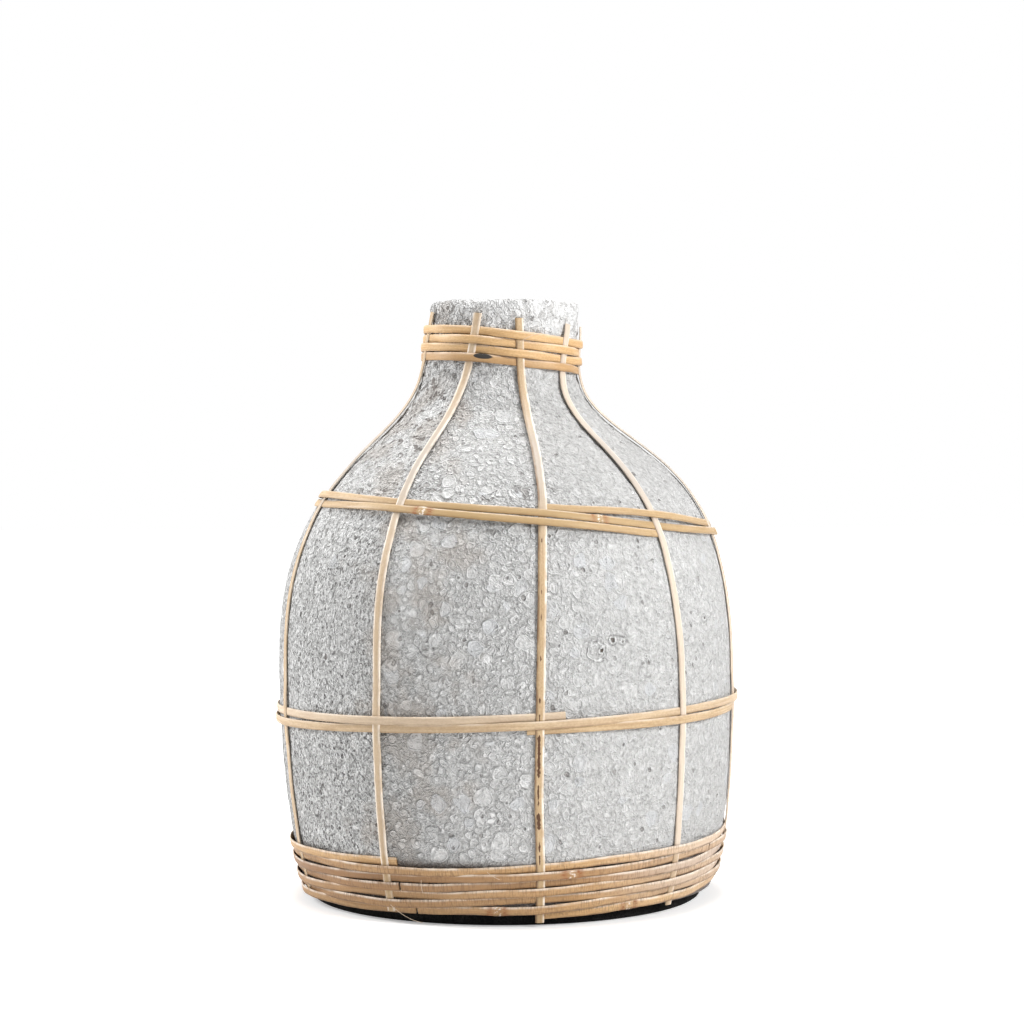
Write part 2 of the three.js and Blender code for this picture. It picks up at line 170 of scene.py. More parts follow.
# %% Make the node helper
class Graph:
    """A node tree under construction."""

    def __init__(self, tree):
        self.tree = tree

    def fill(self, socket, value):
        if isinstance(value, bpy.types.NodeSocket):
            self.tree.links.new(value, socket)
        else:
            socket.default_value = value

    def add(self, kind, inputs=None, **options):
        node = self.tree.nodes.new(kind)
        for name, value in options.items():
            setattr(node, name, value)
        for name, value in (inputs or {}).items():
            self.fill(node.inputs[name], value)
        return node

    def math(self, operation, a, b=0.0, clamp=False):
        return self.add("ShaderNodeMath", {0: a, 1: b}, operation=operation, use_clamp=clamp).outputs[0]

    def minus(self, a, b):
        return self.math("SUBTRACT", a, b)

    def most(self, a, b):
        return self.math("MAXIMUM", a, b)

    def plus(self, *terms):
        total = terms[0]
        for term in terms[1:]:
            total = self.math("ADD", total, term)
        return total

    def times(self, *factors):
        product = factors[0]
        for factor in factors[1:]:
            product = self.math("MULTIPLY", product, factor)
        return product

    def weigh(self, *pairs):
        """The sum of values, each times its weight."""
        return self.plus(*(self.times(value, weight) for value, weight in pairs))

    def ramp(self, value, low, high, start=0.0, end=1.0):
        """A smooth step from start, at low, to end, at high."""
        inputs = {"Value": value, "From Min": low, "From Max": high, "To Min": start, "To Max": end}
        return self.add("ShaderNodeMapRange", inputs, interpolation_type="SMOOTHSTEP").outputs[0]

    def bell(self, value, centre, half):
        """1 where value is at centre, down to 0 at half a width either side."""
        return self.ramp(self.math("ABSOLUTE", self.minus(value, centre)), 0.0, half, 1.0, 0.0)

    def vector(self, operation, a, b):
        return self.add("ShaderNodeVectorMath", {0: a, 1: b}, operation=operation).outputs[0]

    def scaled(self, vector, factor):
        return self.add("ShaderNodeVectorMath", {0: vector, "Scale": factor}, operation="SCALE").outputs[0]

    def combine(self, x, y, z):
        return self.add("ShaderNodeCombineXYZ", {0: x, 1: y, 2: z}).outputs[0]

    def separate(self, vector):
        return self.add("ShaderNodeSeparateXYZ", {0: vector}).outputs

    def noise(self, place, size, detail=2.0, roughness=0.5):
        """Noise from 0 to 1 whose lumps are about size across."""
        inputs = {"Vector": place, "Scale": 1 / size, "Detail": detail, "Roughness": roughness}
        return self.add("ShaderNodeTexNoise", inputs).outputs[0]

    def cells(self, place, size):
        """Voronoi cells about size across: the distance and the cell's random colour."""
        node = self.add("ShaderNodeTexVoronoi", {"Vector": place, "Scale": 1 / size}, feature="F1")
        return node.outputs["Distance"], node.outputs["Color"]

    def mix(self, share, a, b):
        """Colour a at share 0 and b at share 1."""
        node = self.add("ShaderNodeMix", data_type="RGBA")
        for index, value in ((0, share), (6, a), (7, b)):
            self.fill(node.inputs[index], value)
        return node.outputs[2]

    def coats(self, colour, *coats):
        """A colour with coats over it, each given as its share and its own colour."""
        for share, coat in coats:
            colour = self.mix(share, colour, coat)
        return colour

    def bump(self, height, distance):
        inputs = {"Height": height, "Distance": distance, "Strength": 1.0}
        return self.add("ShaderNodeBump", inputs).outputs[0]

    def object_place(self):
        """Place on the object in millimetres."""
        return self.scaled(self.add("ShaderNodeTexCoord").outputs["Object"], 1000.0)


# %% [markdown]
# ## From a tree to a plain mesh
#
# A geometry tree starts from a row of points and grows a shape on it. Its sizes are named inputs, as on a
# drawing. A live modifier would be lost in an export, so the grown shape is copied out as a plain mesh,
# and the starting object is thrown away. Every tree ends alike: smooth, without instances, and with its
# material.

# %% Start, end and run a geometry tree
def node_shape(name, inputs):
    """A geometry tree with a Geometry input and named inputs, given as name: (socket type, default)."""
    tree = bpy.data.node_groups.new(name, "GeometryNodeTree")
    tree.interface.new_socket("Geometry", in_out="INPUT", socket_type="NodeSocketGeometry")
    tree.interface.new_socket("Geometry", in_out="OUTPUT", socket_type="NodeSocketGeometry")
    for title, (kind, default) in inputs.items():
        socket = tree.interface.new_socket(title, in_out="INPUT", socket_type="NodeSocket" + kind)
        if default is not None:
            socket.default_value = default
    graph = Graph(tree)
    return graph, graph.add("NodeGroupInput").outputs, graph.add("NodeGroupOutput").inputs[0]


def named(graph, title, kind="FLOAT"):
    """A named attribute of the geometry."""
    return graph.add("GeometryNodeInputNamedAttribute", {"Name": title}, data_type=kind).outputs[0]


def store(graph, shape, title, value):
    """The shape, with a number kept under a name at each of its points."""
    inputs = {"Geometry": shape, "Name": title, "Value": value}
    return graph.add("GeometryNodeStoreNamedAttribute", inputs, data_type="FLOAT").outputs[0]


def move(graph, shape, **inputs):
    """The shape, with its points moved to a Position or by an Offset."""
    return graph.add("GeometryNodeSetPosition", {"Geometry": shape, **inputs}).outputs[0]


def end_tree(graph, shape, material, result):
    smooth = graph.add("GeometryNodeSetShadeSmooth", {"Geometry": shape}).outputs[0]
    plain = graph.add("GeometryNodeRealizeInstances", {"Geometry": smooth}).outputs[0]
    dressed = graph.add("GeometryNodeSetMaterial", {"Geometry": plain, "Material": material})
    graph.fill(result, dressed.outputs[0])
    return graph.tree


def polyline(name, points, **attributes):
    """A mesh of points joined in a row, with a named attribute for each array."""
    mesh = bpy.data.meshes.new(name)
    mesh.from_pydata([tuple(p) for p in points], [(i, i + 1) for i in range(len(points) - 1)], [])
    for title, values in attributes.items():
        values = np.asarray(values, dtype=np.float32)
        kind, field = ("FLOAT_VECTOR", "vector") if values.ndim == 2 else ("FLOAT", "value")
        mesh.attributes.new(title, kind, "POINT").data.foreach_set(field, values.ravel())
    return mesh


def grow(name, mesh, tree, values):
    """The plain mesh object that a geometry tree makes from a starting mesh."""
    seed = bpy.data.objects.new(name + "_start", mesh)
    bpy.context.scene.collection.objects.link(seed)
    modifier = seed.modifiers.new("nodes", "NODES")
    modifier.node_group = tree
    for item in tree.interface.items_tree:
        if item.in_out == "INPUT" and item.name in values:
            modifier[item.identifier] = values[item.name]
    evaluated = seed.evaluated_get(bpy.context.evaluated_depsgraph_get())
    grown = bpy.data.meshes.new_from_object(evaluated)
    grown.name = name
    bpy.data.objects.remove(seed)
    piece = bpy.data.objects.new(name, grown)
    bpy.context.scene.collection.objects.link(piece)
    return piece


def finish_piece(piece, slot, *nodes):
    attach(piece, "root")
    if nodes:
        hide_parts(*nodes)
    print(f"{piece.name}: {sum(len(p.vertices) - 2 for p in piece.data.polygons)} triangles")


# %% [markdown]
# ## Concrete
#
# The cast surface is full of bubbles. Large ones left flat faces with thin raised rims, small ones left
# ring craters with a dark hole, and between them the concrete is lumpy. Shapes over about 4 mm are real
# geometry, so that they show in the outline. Finer ones are bump and colour in the material. Drawing each
# bubble by hand would take thousands of rings. Voronoi cells give them all by one rule: a ring at a radius
# from each cell's middle, in cells bent by noise so that the rings come out uneven.

# %% Write the rules that bend places and draw bubbles
def bent_place(graph, place, size, reach):
    """Place, in millimetres, pushed about by noise so that rings and cells lose their regular shape."""
    noise = {"Vector": place, "Scale": 1 / size, "Detail": 0.5}
    bend = graph.add("ShaderNodeTexNoise", noise).outputs["Color"]
    return graph.vector("ADD", place, graph.scaled(graph.vector("SUBTRACT", bend, (0.5, 0.5, 0.5)), reach))


def bubbles(graph, place, size, share, least, spread, line):
    """Bubbles in a share of the cells: rim, outline, inside, and a lot from 0 to 1 for each bubble."""
    distance, colour = graph.cells(place, size)
    lots = graph.separate(colour)
    here = graph.math("LESS_THAN", lots[1], share)
    edge = graph.times(graph.minus(distance, graph.plus(least, graph.times(lots[0], spread))), size)
    return SimpleNamespace(
        rim=graph.times(here, graph.bell(edge, -line, line)),
        outline=graph.times(here, graph.bell(edge, line, line * 1.2)),
        inside=graph.times(here, graph.ramp(edge, 0.0, -line)),
        lot=lots[2],
    )


# %% [markdown]
# ## Zones and craters
#
# The real surface changes as one walks round it. Its left side is covered with small rings, its right side
# is calmer, and towards the neck it gets coarse, deep and pale. Smooth ramps of side and height mark these
# zones, and the layers below use them. A few craters are large enough to know by sight. They stand in a
# table with an angle, a height, a radius in mm and a depth.

# %% Mark the zones and the large craters
CRATERS = (
    (21.6, 0.1275, 4.0, 0.1), (22.8, 0.1282, 1.5, 1.0), (26.0, 0.1325, 1.4, 0.9),
    (28.6, 0.1320, 1.1, 0.9), (-27.5, 0.1220, 2.0, 0.35), (-22.0, 0.1195, 1.7, 0.3),
    (-19.0, 0.1293, 2.6, 0.3), (58.0, 0.1400, 1.2, 0.8), (-49.0, 0.1230, 2.0, 0.7),
)


def surface_zones(graph):
    place = graph.object_place()
    x, y, z = graph.separate(place)
    radius = graph.math("SQRT", graph.plus(graph.times(x, x), graph.times(y, y)))
    side = graph.math("DIVIDE", x, radius)
    return SimpleNamespace(
        place=place, x=x, z=z, side=side,
        bent=bent_place(graph, place, 6.0, 4.4),
        fine=bent_place(graph, place, 2.5, 1.2),
        left=graph.ramp(side, -0.42, -0.62),
        right=graph.ramp(side, -0.05, 0.45),
        high=graph.ramp(z, 165.0, 215.0),
        neck=graph.ramp(z, 240.0, 268.0),
    )


def large_craters(graph, zone):
    """Rim, outline and hole of the craters in the table."""
    place = bent_place(graph, zone.place, 3.2, 3.4)
    rim, line, hole = 0.0, 0.0, 0.0
    for angle, height, radius, depth in CRATERS:
        centre = spots_off(np.array([along_at_height(height)]), np.array([angle]), [0.0])[0][0] * 1000
        ends = {0: place, 1: tuple(centre)}
        far = graph.add("ShaderNodeVectorMath", ends, operation="DISTANCE").outputs["Value"]
        rim = graph.most(rim, graph.bell(far, radius, 0.7))
        line = graph.most(line, graph.bell(far, radius + 1.0, 0.8))
        hole = graph.most(hole, graph.ramp(far, radius * 0.75, radius * 0.45, 0.0, depth))
    return SimpleNamespace(rim=rim, line=line, hole=hole)


# %% Stack the layers of bubbles
def bubble_layers(graph, zone):
    """Wide flat islands over blobs over beads, with open pores through them all."""
    island_share = graph.plus(0.5, graph.times(zone.left, -0.46))
    blob_share = graph.plus(0.85, graph.times(zone.left, -0.5))
    other_place = graph.vector("ADD", zone.fine, (31.0, 17.0, 53.0))
    tall_place = graph.vector("MULTIPLY", zone.fine, (1.0, 1.0, 0.9))
    island = bubbles(graph, zone.bent, 10.0, island_share, 0.28, 0.22, 0.5)
    blob = bubbles(graph, zone.bent, 4.6, blob_share, 0.28, 0.3, 0.42)
    bead = bubbles(graph, other_place, 2.6, 0.8, 0.28, 0.3, 0.36)
    pore = bubbles(graph, tall_place, 2.8, 0.9, 0.24, 0.24, 0.3)
    off_island = graph.minus(1.0, graph.times(island.inside, 0.9))
    off_blob = graph.times(off_island, graph.minus(1.0, graph.times(blob.inside, 0.8)))

    def stacked(kind, *shares):
        layers = zip((island, blob, bead), shares)
        wide, middle, small = (graph.times(getattr(layer, kind), share) for layer, share in layers)
        over = graph.most(wide, graph.times(middle, off_island))
        return graph.most(over, graph.times(small, off_blob))

    patches = graph.ramp(graph.noise(zone.place, 13.0, 1.0), 0.35, 0.62, 0.3, 0.6)
    open_pore = graph.ramp(graph.plus(pore.lot, graph.times(zone.left, patches)), 0.92, 1.02)
    return SimpleNamespace(
        island=island,
        off_blob=off_blob,
        rims=stacked("rim", 0.8, 1.0, 0.8),
        outlines=stacked("outline", 0.8, 1.0, 0.6),
        tops=stacked("inside", 1.0, 0.7, 0.5),
        hole=graph.times(pore.inside, open_pore),
        hole_rim=graph.times(pore.outline, open_pore),
        hole_line=graph.times(pore.rim, open_pore, zone.left),
    )


# %% Add lumps, creases and crags
def rough_layers(graph, zone, off_blob):
    """Fine lumps and wrinkles everywhere, scales at the left, and deep pits and curls near the neck."""
    lumps = graph.minus(graph.noise(zone.bent, 2.0, detail=3.0, roughness=0.65), 0.5)
    wrinkle = graph.times(graph.bell(graph.noise(zone.fine, 2.0, 1.0), 0.5, 0.07), off_blob)
    tall_place = graph.vector("MULTIPLY", zone.fine, (1.0, 1.0, 0.6))
    scales = graph.minus(graph.bell(graph.noise(tall_place, 1.6, 1.0), 0.5, 0.13), 0.28)

    craggy = graph.times(graph.ramp(zone.z, 195.0, 225.0), graph.plus(0.1, graph.times(zone.left, 0.9)))
    rock = graph.noise(zone.bent, 3.6, 2.0)
    pits = graph.times(graph.ramp(rock, 0.415, 0.38), graph.most(craggy, graph.times(zone.neck, 0.4)))
    long_place = graph.vector("MULTIPLY", zone.bent, (0.5, 0.5, 1.0))
    crease = graph.ramp(graph.noise(long_place, 3.2, 2.0), 0.41, 0.36)
    crease = graph.times(crease, graph.bell(zone.z, 195.0, 32.0), graph.ramp(zone.side, 0.4, 0.1), 0.7)
    curly = graph.times(zone.neck, graph.ramp(zone.side, 0.5, -0.5, 0.1, 0.5))
    curly = graph.plus(curly, graph.times(craggy, 0.3))
    curl = graph.times(graph.bell(graph.noise(zone.bent, 3.0, 1.0), 0.5, 0.04), curly)
    return SimpleNamespace(
        lumps=lumps,
        wrinkle=wrinkle,
        scales=graph.times(scales, zone.left),
        grain=graph.noise(zone.place, 0.7, detail=3.0, roughness=0.65),
        crag=graph.most(graph.most(pits, crease), curl),
        crag_rim=graph.times(graph.bell(rock, 0.455, 0.04), craggy),
    )


# %% [markdown]
# ## The concrete material
#
# One sum of all the layers, the relief, gives both the bump and most of the colour. In the colour it is
# painted light and shade: rims and raised parts are painted paler, outlines and hollows darker. The bump
# from a sum of heights looks right under any light; the painted light and shade hold for one light only.

# %% Build the concrete material
SHADED_GREY = (0.10, 0.097, 0.093, 1)
PALE_GREY = (0.84, 0.837, 0.83, 1)
CLOUD_GREY = (0.58, 0.575, 0.565, 1)
STAIN = (0.43, 0.36, 0.30, 1)
BLUISH_GREY = (0.58, 0.59, 0.605, 1)
HOLE_SHADE = (0.12, 0.10, 0.085, 1)
WEAVE_SHADE = (0.13, 0.10, 0.08, 1)
CONCRETE_BUMP = 0.0017


def new_material(name):
    material = bpy.data.materials.new(name)
    material.use_nodes = True
    material.node_tree.nodes.clear()
    graph = Graph(material.node_tree)
    shader = graph.add("ShaderNodeBsdfPrincipled")
    graph.fill(graph.add("ShaderNodeOutputMaterial").inputs["Surface"], shader.outputs[0])
    return material, graph, shader


def concrete_colour(graph, zone, bubble, rough, crater, relief_and_painted_shade):
    # Painted light and shade by side and height: the left and the right shoulder are painted darker and the
    # upper left paler, as the light falls there; the left is also darker towards the bottom. The neck is
    # paler partly in its own colour, partly as painted light where its top burns out.
    low = graph.ramp(zone.z, 95.0, 70.0, 0.0, -0.1)
    pale = graph.plus(
        0.63,
        relief_and_painted_shade,
        graph.times(zone.left, graph.plus(-0.1, graph.times(zone.high, 0.29), low)),
        graph.times(zone.right, graph.plus(-0.03, graph.times(zone.high, -0.07))),
        graph.weigh((zone.high, -0.06), (zone.neck, 0.46)),
    )
    cloud = graph.ramp(graph.noise(zone.place, 40.0), 0.35, 0.7, 0.0, 0.2)
    near_stain = graph.ramp(graph.math("ABSOLUTE", graph.plus(zone.x, 42.0)), 8.0, 45.0, 1.0, 0.6)
    stain = graph.ramp(graph.times(graph.noise(zone.place, 18.0), near_stain), 0.42, 0.62, 0.0, 0.35)
    bluish = graph.times(bubble.island.inside, graph.ramp(bubble.island.lot, 0.4, 0.9), 0.6)
    # Painted shade: open pores, crater holes, pits, creases and curls are darkened, as shade falls in them.
    pore_shade = graph.times(bubble.hole, graph.ramp(zone.left, 0.0, 1.0, 0.65, 0.2))
    hole_shade = graph.most(graph.most(pore_shade, crater.hole), graph.times(rough.crag, 0.7))
    # Painted shade on the wall behind the base weave, seen through the gaps between the strands.
    shade_behind_weave = graph.ramp(zone.z, 33.0, 28.0, 0.0, 0.8)
    return graph.coats(
        graph.mix(pale, SHADED_GREY, PALE_GREY),
        (cloud, CLOUD_GREY),
        (stain, STAIN),
        (bluish, BLUISH_GREY),
        (hole_shade, HOLE_SHADE),
        (shade_behind_weave, WEAVE_SHADE),
    )


def concrete_material():
    material, graph, shader = new_material("concrete")
    zone = surface_zones(graph)
    bubble = bubble_layers(graph, zone)
    rough = rough_layers(graph, zone, bubble.off_blob)
    crater = large_craters(graph, zone)
    contrast = graph.plus(
        1.02,
        graph.weigh((zone.right, -0.66), (zone.high, -0.3), (zone.left, 0.35)),
        graph.ramp(zone.side, -0.15, -0.4, 0.0, 0.3),
    )
    ridges = graph.weigh(
        (bubble.rims, 0.38), (bubble.outlines, -0.2), (bubble.tops, 0.08), (rough.wrinkle, 0.2))
    # The relief: heights for the bump, and in the colour painted light and shade, with rims paler and
    # outlines and hollows darker.
    relief_and_painted_shade = graph.plus(
        graph.times(ridges, contrast),
        graph.weigh((bubble.hole_rim, 0.5), (bubble.hole_line, -0.3), (rough.scales, 0.4)),
        graph.weigh((rough.crag_rim, 0.3), (crater.rim, 0.32), (crater.line, -0.2)),
        graph.times(rough.lumps, graph.plus(0.9, graph.times(zone.left, 0.7))),
    )
    height = graph.plus(
        relief_and_painted_shade,
        graph.times(bubble.tops, contrast, 0.14),
        graph.weigh((bubble.hole, -1.0), (crater.hole, -1.5), (rough.crag, -1.0)),
        graph.weigh((rough.lumps, 0.5), (rough.scales, 0.4), (rough.grain, 0.15)),
    )
    height = graph.times(height, graph.plus(1.0, graph.times(zone.left, -0.5)))
    graph.fill(shader.inputs["Base Color"], concrete_colour(graph, zone, bubble, rough, crater, relief_and_painted_shade))
    graph.fill(shader.inputs["Normal"], graph.bump(height, CONCRETE_BUMP))
    shader.inputs["Roughness"].default_value = 0.92
    shader.inputs["Specular IOR Level"].default_value = 0.2
    print(f"{material.name} material: {len(graph.tree.nodes)} nodes")
    return material


CONCRETE = concrete_material()

# %% [markdown]
# ## Vessel
#
# The bottle is cast in a mould, so it is a turned shape: one outline goes up the outside, over the lip and
# down the inside to the floor. Spinning a curve would make it, but a grid does it better: each row of the
# grid takes its place from the outline, and each column its angle. Then the same tree pushes the wall in
# and out by noise, gently on the belly and hard near the neck.

# %% Draw the vessel's outline
WALL_THICKNESS = 0.009
FLOOR_TOP = PAD_TOP + 0.012
FOOT_ROUNDING = 0.0012
LIP_ROUNDING = 0.003
OUTER_ROWS = 190
FINE_ROWS_FROM = 0.2
FINE_ROWS = 110
INNER_ROWS = 22
INNER_ROUGHNESS = 0.6


def rounding(a, b, c, count=4):
    """A rounded corner from a to c, drawn towards b."""
    t = np.linspace(0, 1, count)[:, None]
    return (1 - t) ** 2 * np.array(a) + 2 * (1 - t) * t * np.array(b) + t ** 2 * np.array(c)


def vessel_outline():
    """Points (radius, lean, height) of the outline, and how rough each row is."""
    foot_top = along_at_height(PAD_TOP) + FOOT_ROUNDING
    fine_from = along_at_height(FINE_ROWS_FROM)
    lip = WALL_LENGTH - LIP_ROUNDING
    row_marks = [0, OUTER_ROWS - FINE_ROWS, OUTER_ROWS - 1]
    wall = wall_points(np.interp(np.arange(OUTER_ROWS), row_marks, [foot_top, fine_from, lip]))

    down = np.linspace(lip, 0, 200)
    inside = wall_points(down) + WALL_THICKNESS * wall_rises(down)[:, ::-1] * (-1, 1)
    inside = inside[inside[:, 1] > FLOOR_TOP]
    inside = inside[np.linspace(0, len(inside) - 1, INNER_ROWS).astype(int)]

    crown = MOUTH_RADIUS - LIP_ROUNDING
    bore = MOUTH_RADIUS - WALL_THICKNESS
    foot = rounding((FOOT_RADIUS - FOOT_ROUNDING, PAD_TOP), (FOOT_RADIUS, PAD_TOP), wall[0])
    outer_lip = rounding(wall[-1], (MOUTH_RADIUS, MOUTH_HEIGHT), (crown, MOUTH_HEIGHT))
    inner_lip = rounding((bore + LIP_ROUNDING, MOUTH_HEIGHT), (bore, MOUTH_HEIGHT), inside[0])
    underside, floor = [(0, PAD_TOP)], [(0, inside[-1][1])]
    rows = np.vstack([underside, foot[:-1], wall, outer_lip[1:], inner_lip[:-1], inside, floor])

    count = len(rows)
    rough = np.interp(np.arange(count), [2, 8, count - 40, count - 24], [0, 1, 1, INNER_ROUGHNESS])
    return np.stack([rows[:, 0], lean_at(rows[:, 1]), rows[:, 1]], axis=1), rough


outline_points, outline_rough = vessel_outline()
print(f"vessel outline: {len(outline_points)} rows")

# %% Turn the outline into the vessel, with its lumps
VESSEL_COLUMNS = 436


def turn_round(graph, given, row_count):
    """The starting outline turned round the axis and closed, with its roughness kept on it."""
    columns = graph.plus(given["Columns"], 1.0)
    counts = {"Size X": 1.0, "Size Y": 1.0, "Vertices X": columns, "Vertices Y": row_count}
    grid = graph.add("GeometryNodeMeshGrid", counts).outputs[0]
    position = graph.add("GeometryNodeInputPosition").outputs[0]
    x, y, _ = graph.separate(position)
    row = graph.math("ROUND", graph.times(graph.plus(y, 0.5), row_count - 1.0))
    turn = graph.times(x, 2 * math.pi)

    def of_row(value, kind):
        inputs = {"Geometry": given["Geometry"], "Value": value, "Index": row}
        return graph.add("GeometryNodeSampleIndex", inputs, data_type=kind).outputs[0]

    radius, lean, height = graph.separate(of_row(position, "FLOAT_VECTOR"))
    turned = graph.combine(
        graph.plus(graph.times(radius, graph.math("SINE", turn)), lean),
        graph.times(radius, graph.math("COSINE", turn), -1.0),
        height,
    )
    rough_grid = store(graph, grid, "rough", of_row(named(graph, "rough"), "FLOAT"))
    lathe = move(graph, rough_grid, Position=turned)
    return graph.add("GeometryNodeMergeByDistance", {"Geometry": lathe, "Distance": 1e-5}).outputs[0]


def vessel_tree(row_count):
    """The sway, the lumps and the neck's coarser lumps are given in mm."""
    inputs = {
        "Columns": ("Int", VESSEL_COLUMNS),
        "Sway": ("Float", 0.9),
        "Lumps": ("Float", 0.9),
        "Neck Lumps": ("Float", 3.0),
        "Material": ("Material", None),
    }
    graph, given, result = node_shape("turned_concrete", inputs)
    closed = turn_round(graph, given, row_count)
    position = graph.add("GeometryNodeInputPosition").outputs[0]
    place = graph.scaled(position, 1000.0)
    neck = graph.ramp(graph.separate(position)[2], 0.185, 0.275)
    sway = graph.times(graph.minus(graph.noise(place, 60.0, 1.0), 0.5), given["Sway"])
    lumps = graph.times(graph.minus(graph.noise(place, 11.0), 0.55), given["Lumps"])
    coarse = graph.minus(graph.noise(bent_place(graph, place, 7.0, 6.0), 4.6), 0.6)
    coarse = graph.times(coarse, neck, given["Neck Lumps"])
    relief = graph.times(graph.plus(sway, lumps, coarse), named(graph, "rough"), 0.001)
    normal = graph.add("GeometryNodeInputNormal").outputs[0]
    rough_wall = move(graph, closed, Offset=graph.scaled(normal, relief))
    return end_tree(graph, rough_wall, given["Material"], result)


outline_mesh = polyline("vessel_outline", outline_points, rough=outline_rough)
vessel = grow("concrete_vessel", outline_mesh, vessel_tree(len(outline_points)), {"Material": CONCRETE})
finish_piece(vessel, "concrete", "vessel")

# %% [markdown]
# ## The weave
#
# Stakes and weavers are one kind of thing: a half-round strip swept along a path. The paths follow the
# CAD's rules. A stake climbs the wall and is lifted where weavers pass behind it. A weaver goes round,
# over one stake and under the next, and climbs by its own width each turn.
#
# Soft cane beds in where two strips cross, so here they are pressed a little into each other. Stacked at
# full thickness they would stand off the wall, and daylight would show between them at the sides. Handwork
# isn't even either: each band has a short table of bends, with a count of passes and how many mm higher
# the weaver lies there.

# %% Give the canes and the bands their sizes
STAKE_COUNT = 9
STAKE_SPACING = 360 / STAKE_COUNT
FRONT_STAKE_ANGLE = 8.4
STAKE_WIDTH = 0.0045
STAKE_THICKNESS = 0.0011
WEAVER_THICKNESS = 0.0009
WEAVER_WIDTH = 0.0039
CLEARANCE = 0.0001
CANE_SEAT = 0.0002
PRESSED_IN = 0.0006
STAKE_RAISED = CANE_SEAT + WEAVER_THICKNESS + CLEARANCE - PRESSED_IN
WEAVER_OVER = STAKE_RAISED + STAKE_THICKNESS + CLEARANCE
CROSSING_MARGIN = 0.0015
BEND_HALF = 0.25

neck_weave = SimpleNamespace(
    first=5, passes=36, start=WALL_LENGTH - 0.0324, climb=1, width=WEAVER_WIDTH, gap=0.00045,
    lean=0.0047, high=-90, tucked=0, bends=((0, 0),))
shoulder_band = SimpleNamespace(
    first=0, passes=19, start=along_at_height(0.1914), climb=-1, width=WEAVER_WIDTH, gap=0.0006,
    lean=0.0111, high=-67, tucked=2, bends=(
        (0, -0.6), (0.65, 2), (2, 2.4), (7, 0), (8.8, -0.3), (9.65, 1.1), (11, 2), (16, 0), (17.9, 0),
        (18.65, 1.4), (19.5, 2)))
belly_band = SimpleNamespace(
    first=0, passes=18, start=along_at_height(0.0896), climb=1, width=WEAVER_WIDTH, gap=0.0007,
    lean=0.0039, high=90, tucked=0, bends=((0, 2.2), (1, 0.7), (2.5, 0), (16.3, 0), (18, -1.2)))
base_weave = SimpleNamespace(
    first=0, passes=62, start=along_at_height(0.0066), climb=1, width=0.0034, gap=0.0005,
    lean=0.0042, high=110, tucked=0, bends=((5.6, 0), (6.9, 1.3), (8.2, 0)))
WEAVES = (neck_weave, shoulder_band, belly_band, base_weave)


def weave_along(weave, passes):
    """Where a weaver lies along the wall after a count of passes."""
    angle = FRONT_STAKE_ANGLE + (weave.first + passes) * STAKE_SPACING
    pitch = weave.climb * (weave.width + weave.gap) / STAKE_COUNT
    bend = 0.001 * smooth_table(passes, weave.bends, BEND_HALF)
    return weave.start + pitch * passes + bend + weave.lean * np.cos(np.radians(angle - weave.high))


def pass_length(weave):
    return float(np.interp(weave.start, ALONG, WALL[:, 0])) * math.radians(STAKE_SPACING)


print("weavers pass", sum(weave.passes for weave in WEAVES), "stakes")

# %% Let the stakes stray from their even places
STRAY_HALF = 0.03
STRAY_SHARES = (0.06, 0.19, 0.37, 0.56, 0.69, 0.78, 0.85, 0.9, 0.99)
STRAYS = (
    (-0.2, -1.1, -0.3, 0.6, 2.3, 5, 7.6, 6.4, 1.8),
    (-0.5, -1.4, -1.6, -3.4, -4.8, -4.2, -1, 2.8, 9),
    (-2, -9, -12, -11, -6, -7, -10, -5, 4),
    (1, 0, -2, -2, -1, 0, 2, 3, 5),
    (-1, 0, 1, 2, 2, 3, 4, 3, 2),
    (0.5, 1, 0, -1, -2, -2, 0, 3, 5),
    (1, 0, -1, 0, 1, 0, -2, 0, 4),
    (2, 1, 1.5, 0, -3, -5, -7, -5, 5),
    (-0.5, -0.8, -0.1, -0.6, -0.8, 1.6, 4.6, 9.2, 12.5),
)


def stake_angle(stake, along):
    """Angle of a stake along the wall, or of a place between two stakes when the count isn't whole."""
    shares = along / WALL_LENGTH
    tables = (tuple(zip(STRAY_SHARES, strays)) for strays in STRAYS)
    table = np.stack([smooth_table(shares, strays, STRAY_HALF) for strays in tables])
    before = np.broadcast_to(np.floor(stake).astype(int), along.shape)
    column = np.arange(len(along))
    here = table[before % STAKE_COUNT, column]
    after = table[(before + 1) % STAKE_COUNT, column]
    return FRONT_STAKE_ANGLE + stake * STAKE_SPACING + here + (after - here) * (stake - before)


# %% Write the paths of weavers and stakes
PATH_STEP = 0.0012
WEAVER_REACH = 0.028
STAKE_ENDS = (0.0025, 0.005, 0.009, 0.004, 0.003, 0.003, 0.004, 0.006, 0.0058)
STAKE_STANDOUT = 0.0084
STAKE_LIFT_RUN = 0.012
STAKE_BRIDGE = 0.0007


def ease(value):
    value = np.clip(value, 0, 1)
    return value * value * (3 - 2 * value)


def goes_over(weave, passes):
    """Whether a weaver lies over a stake. Its tucked passes go the other way, to hide its end."""
    return (passes % 2 == 1) != ((passes > weave.passes - weave.tucked) & (weave.tucked > 0))


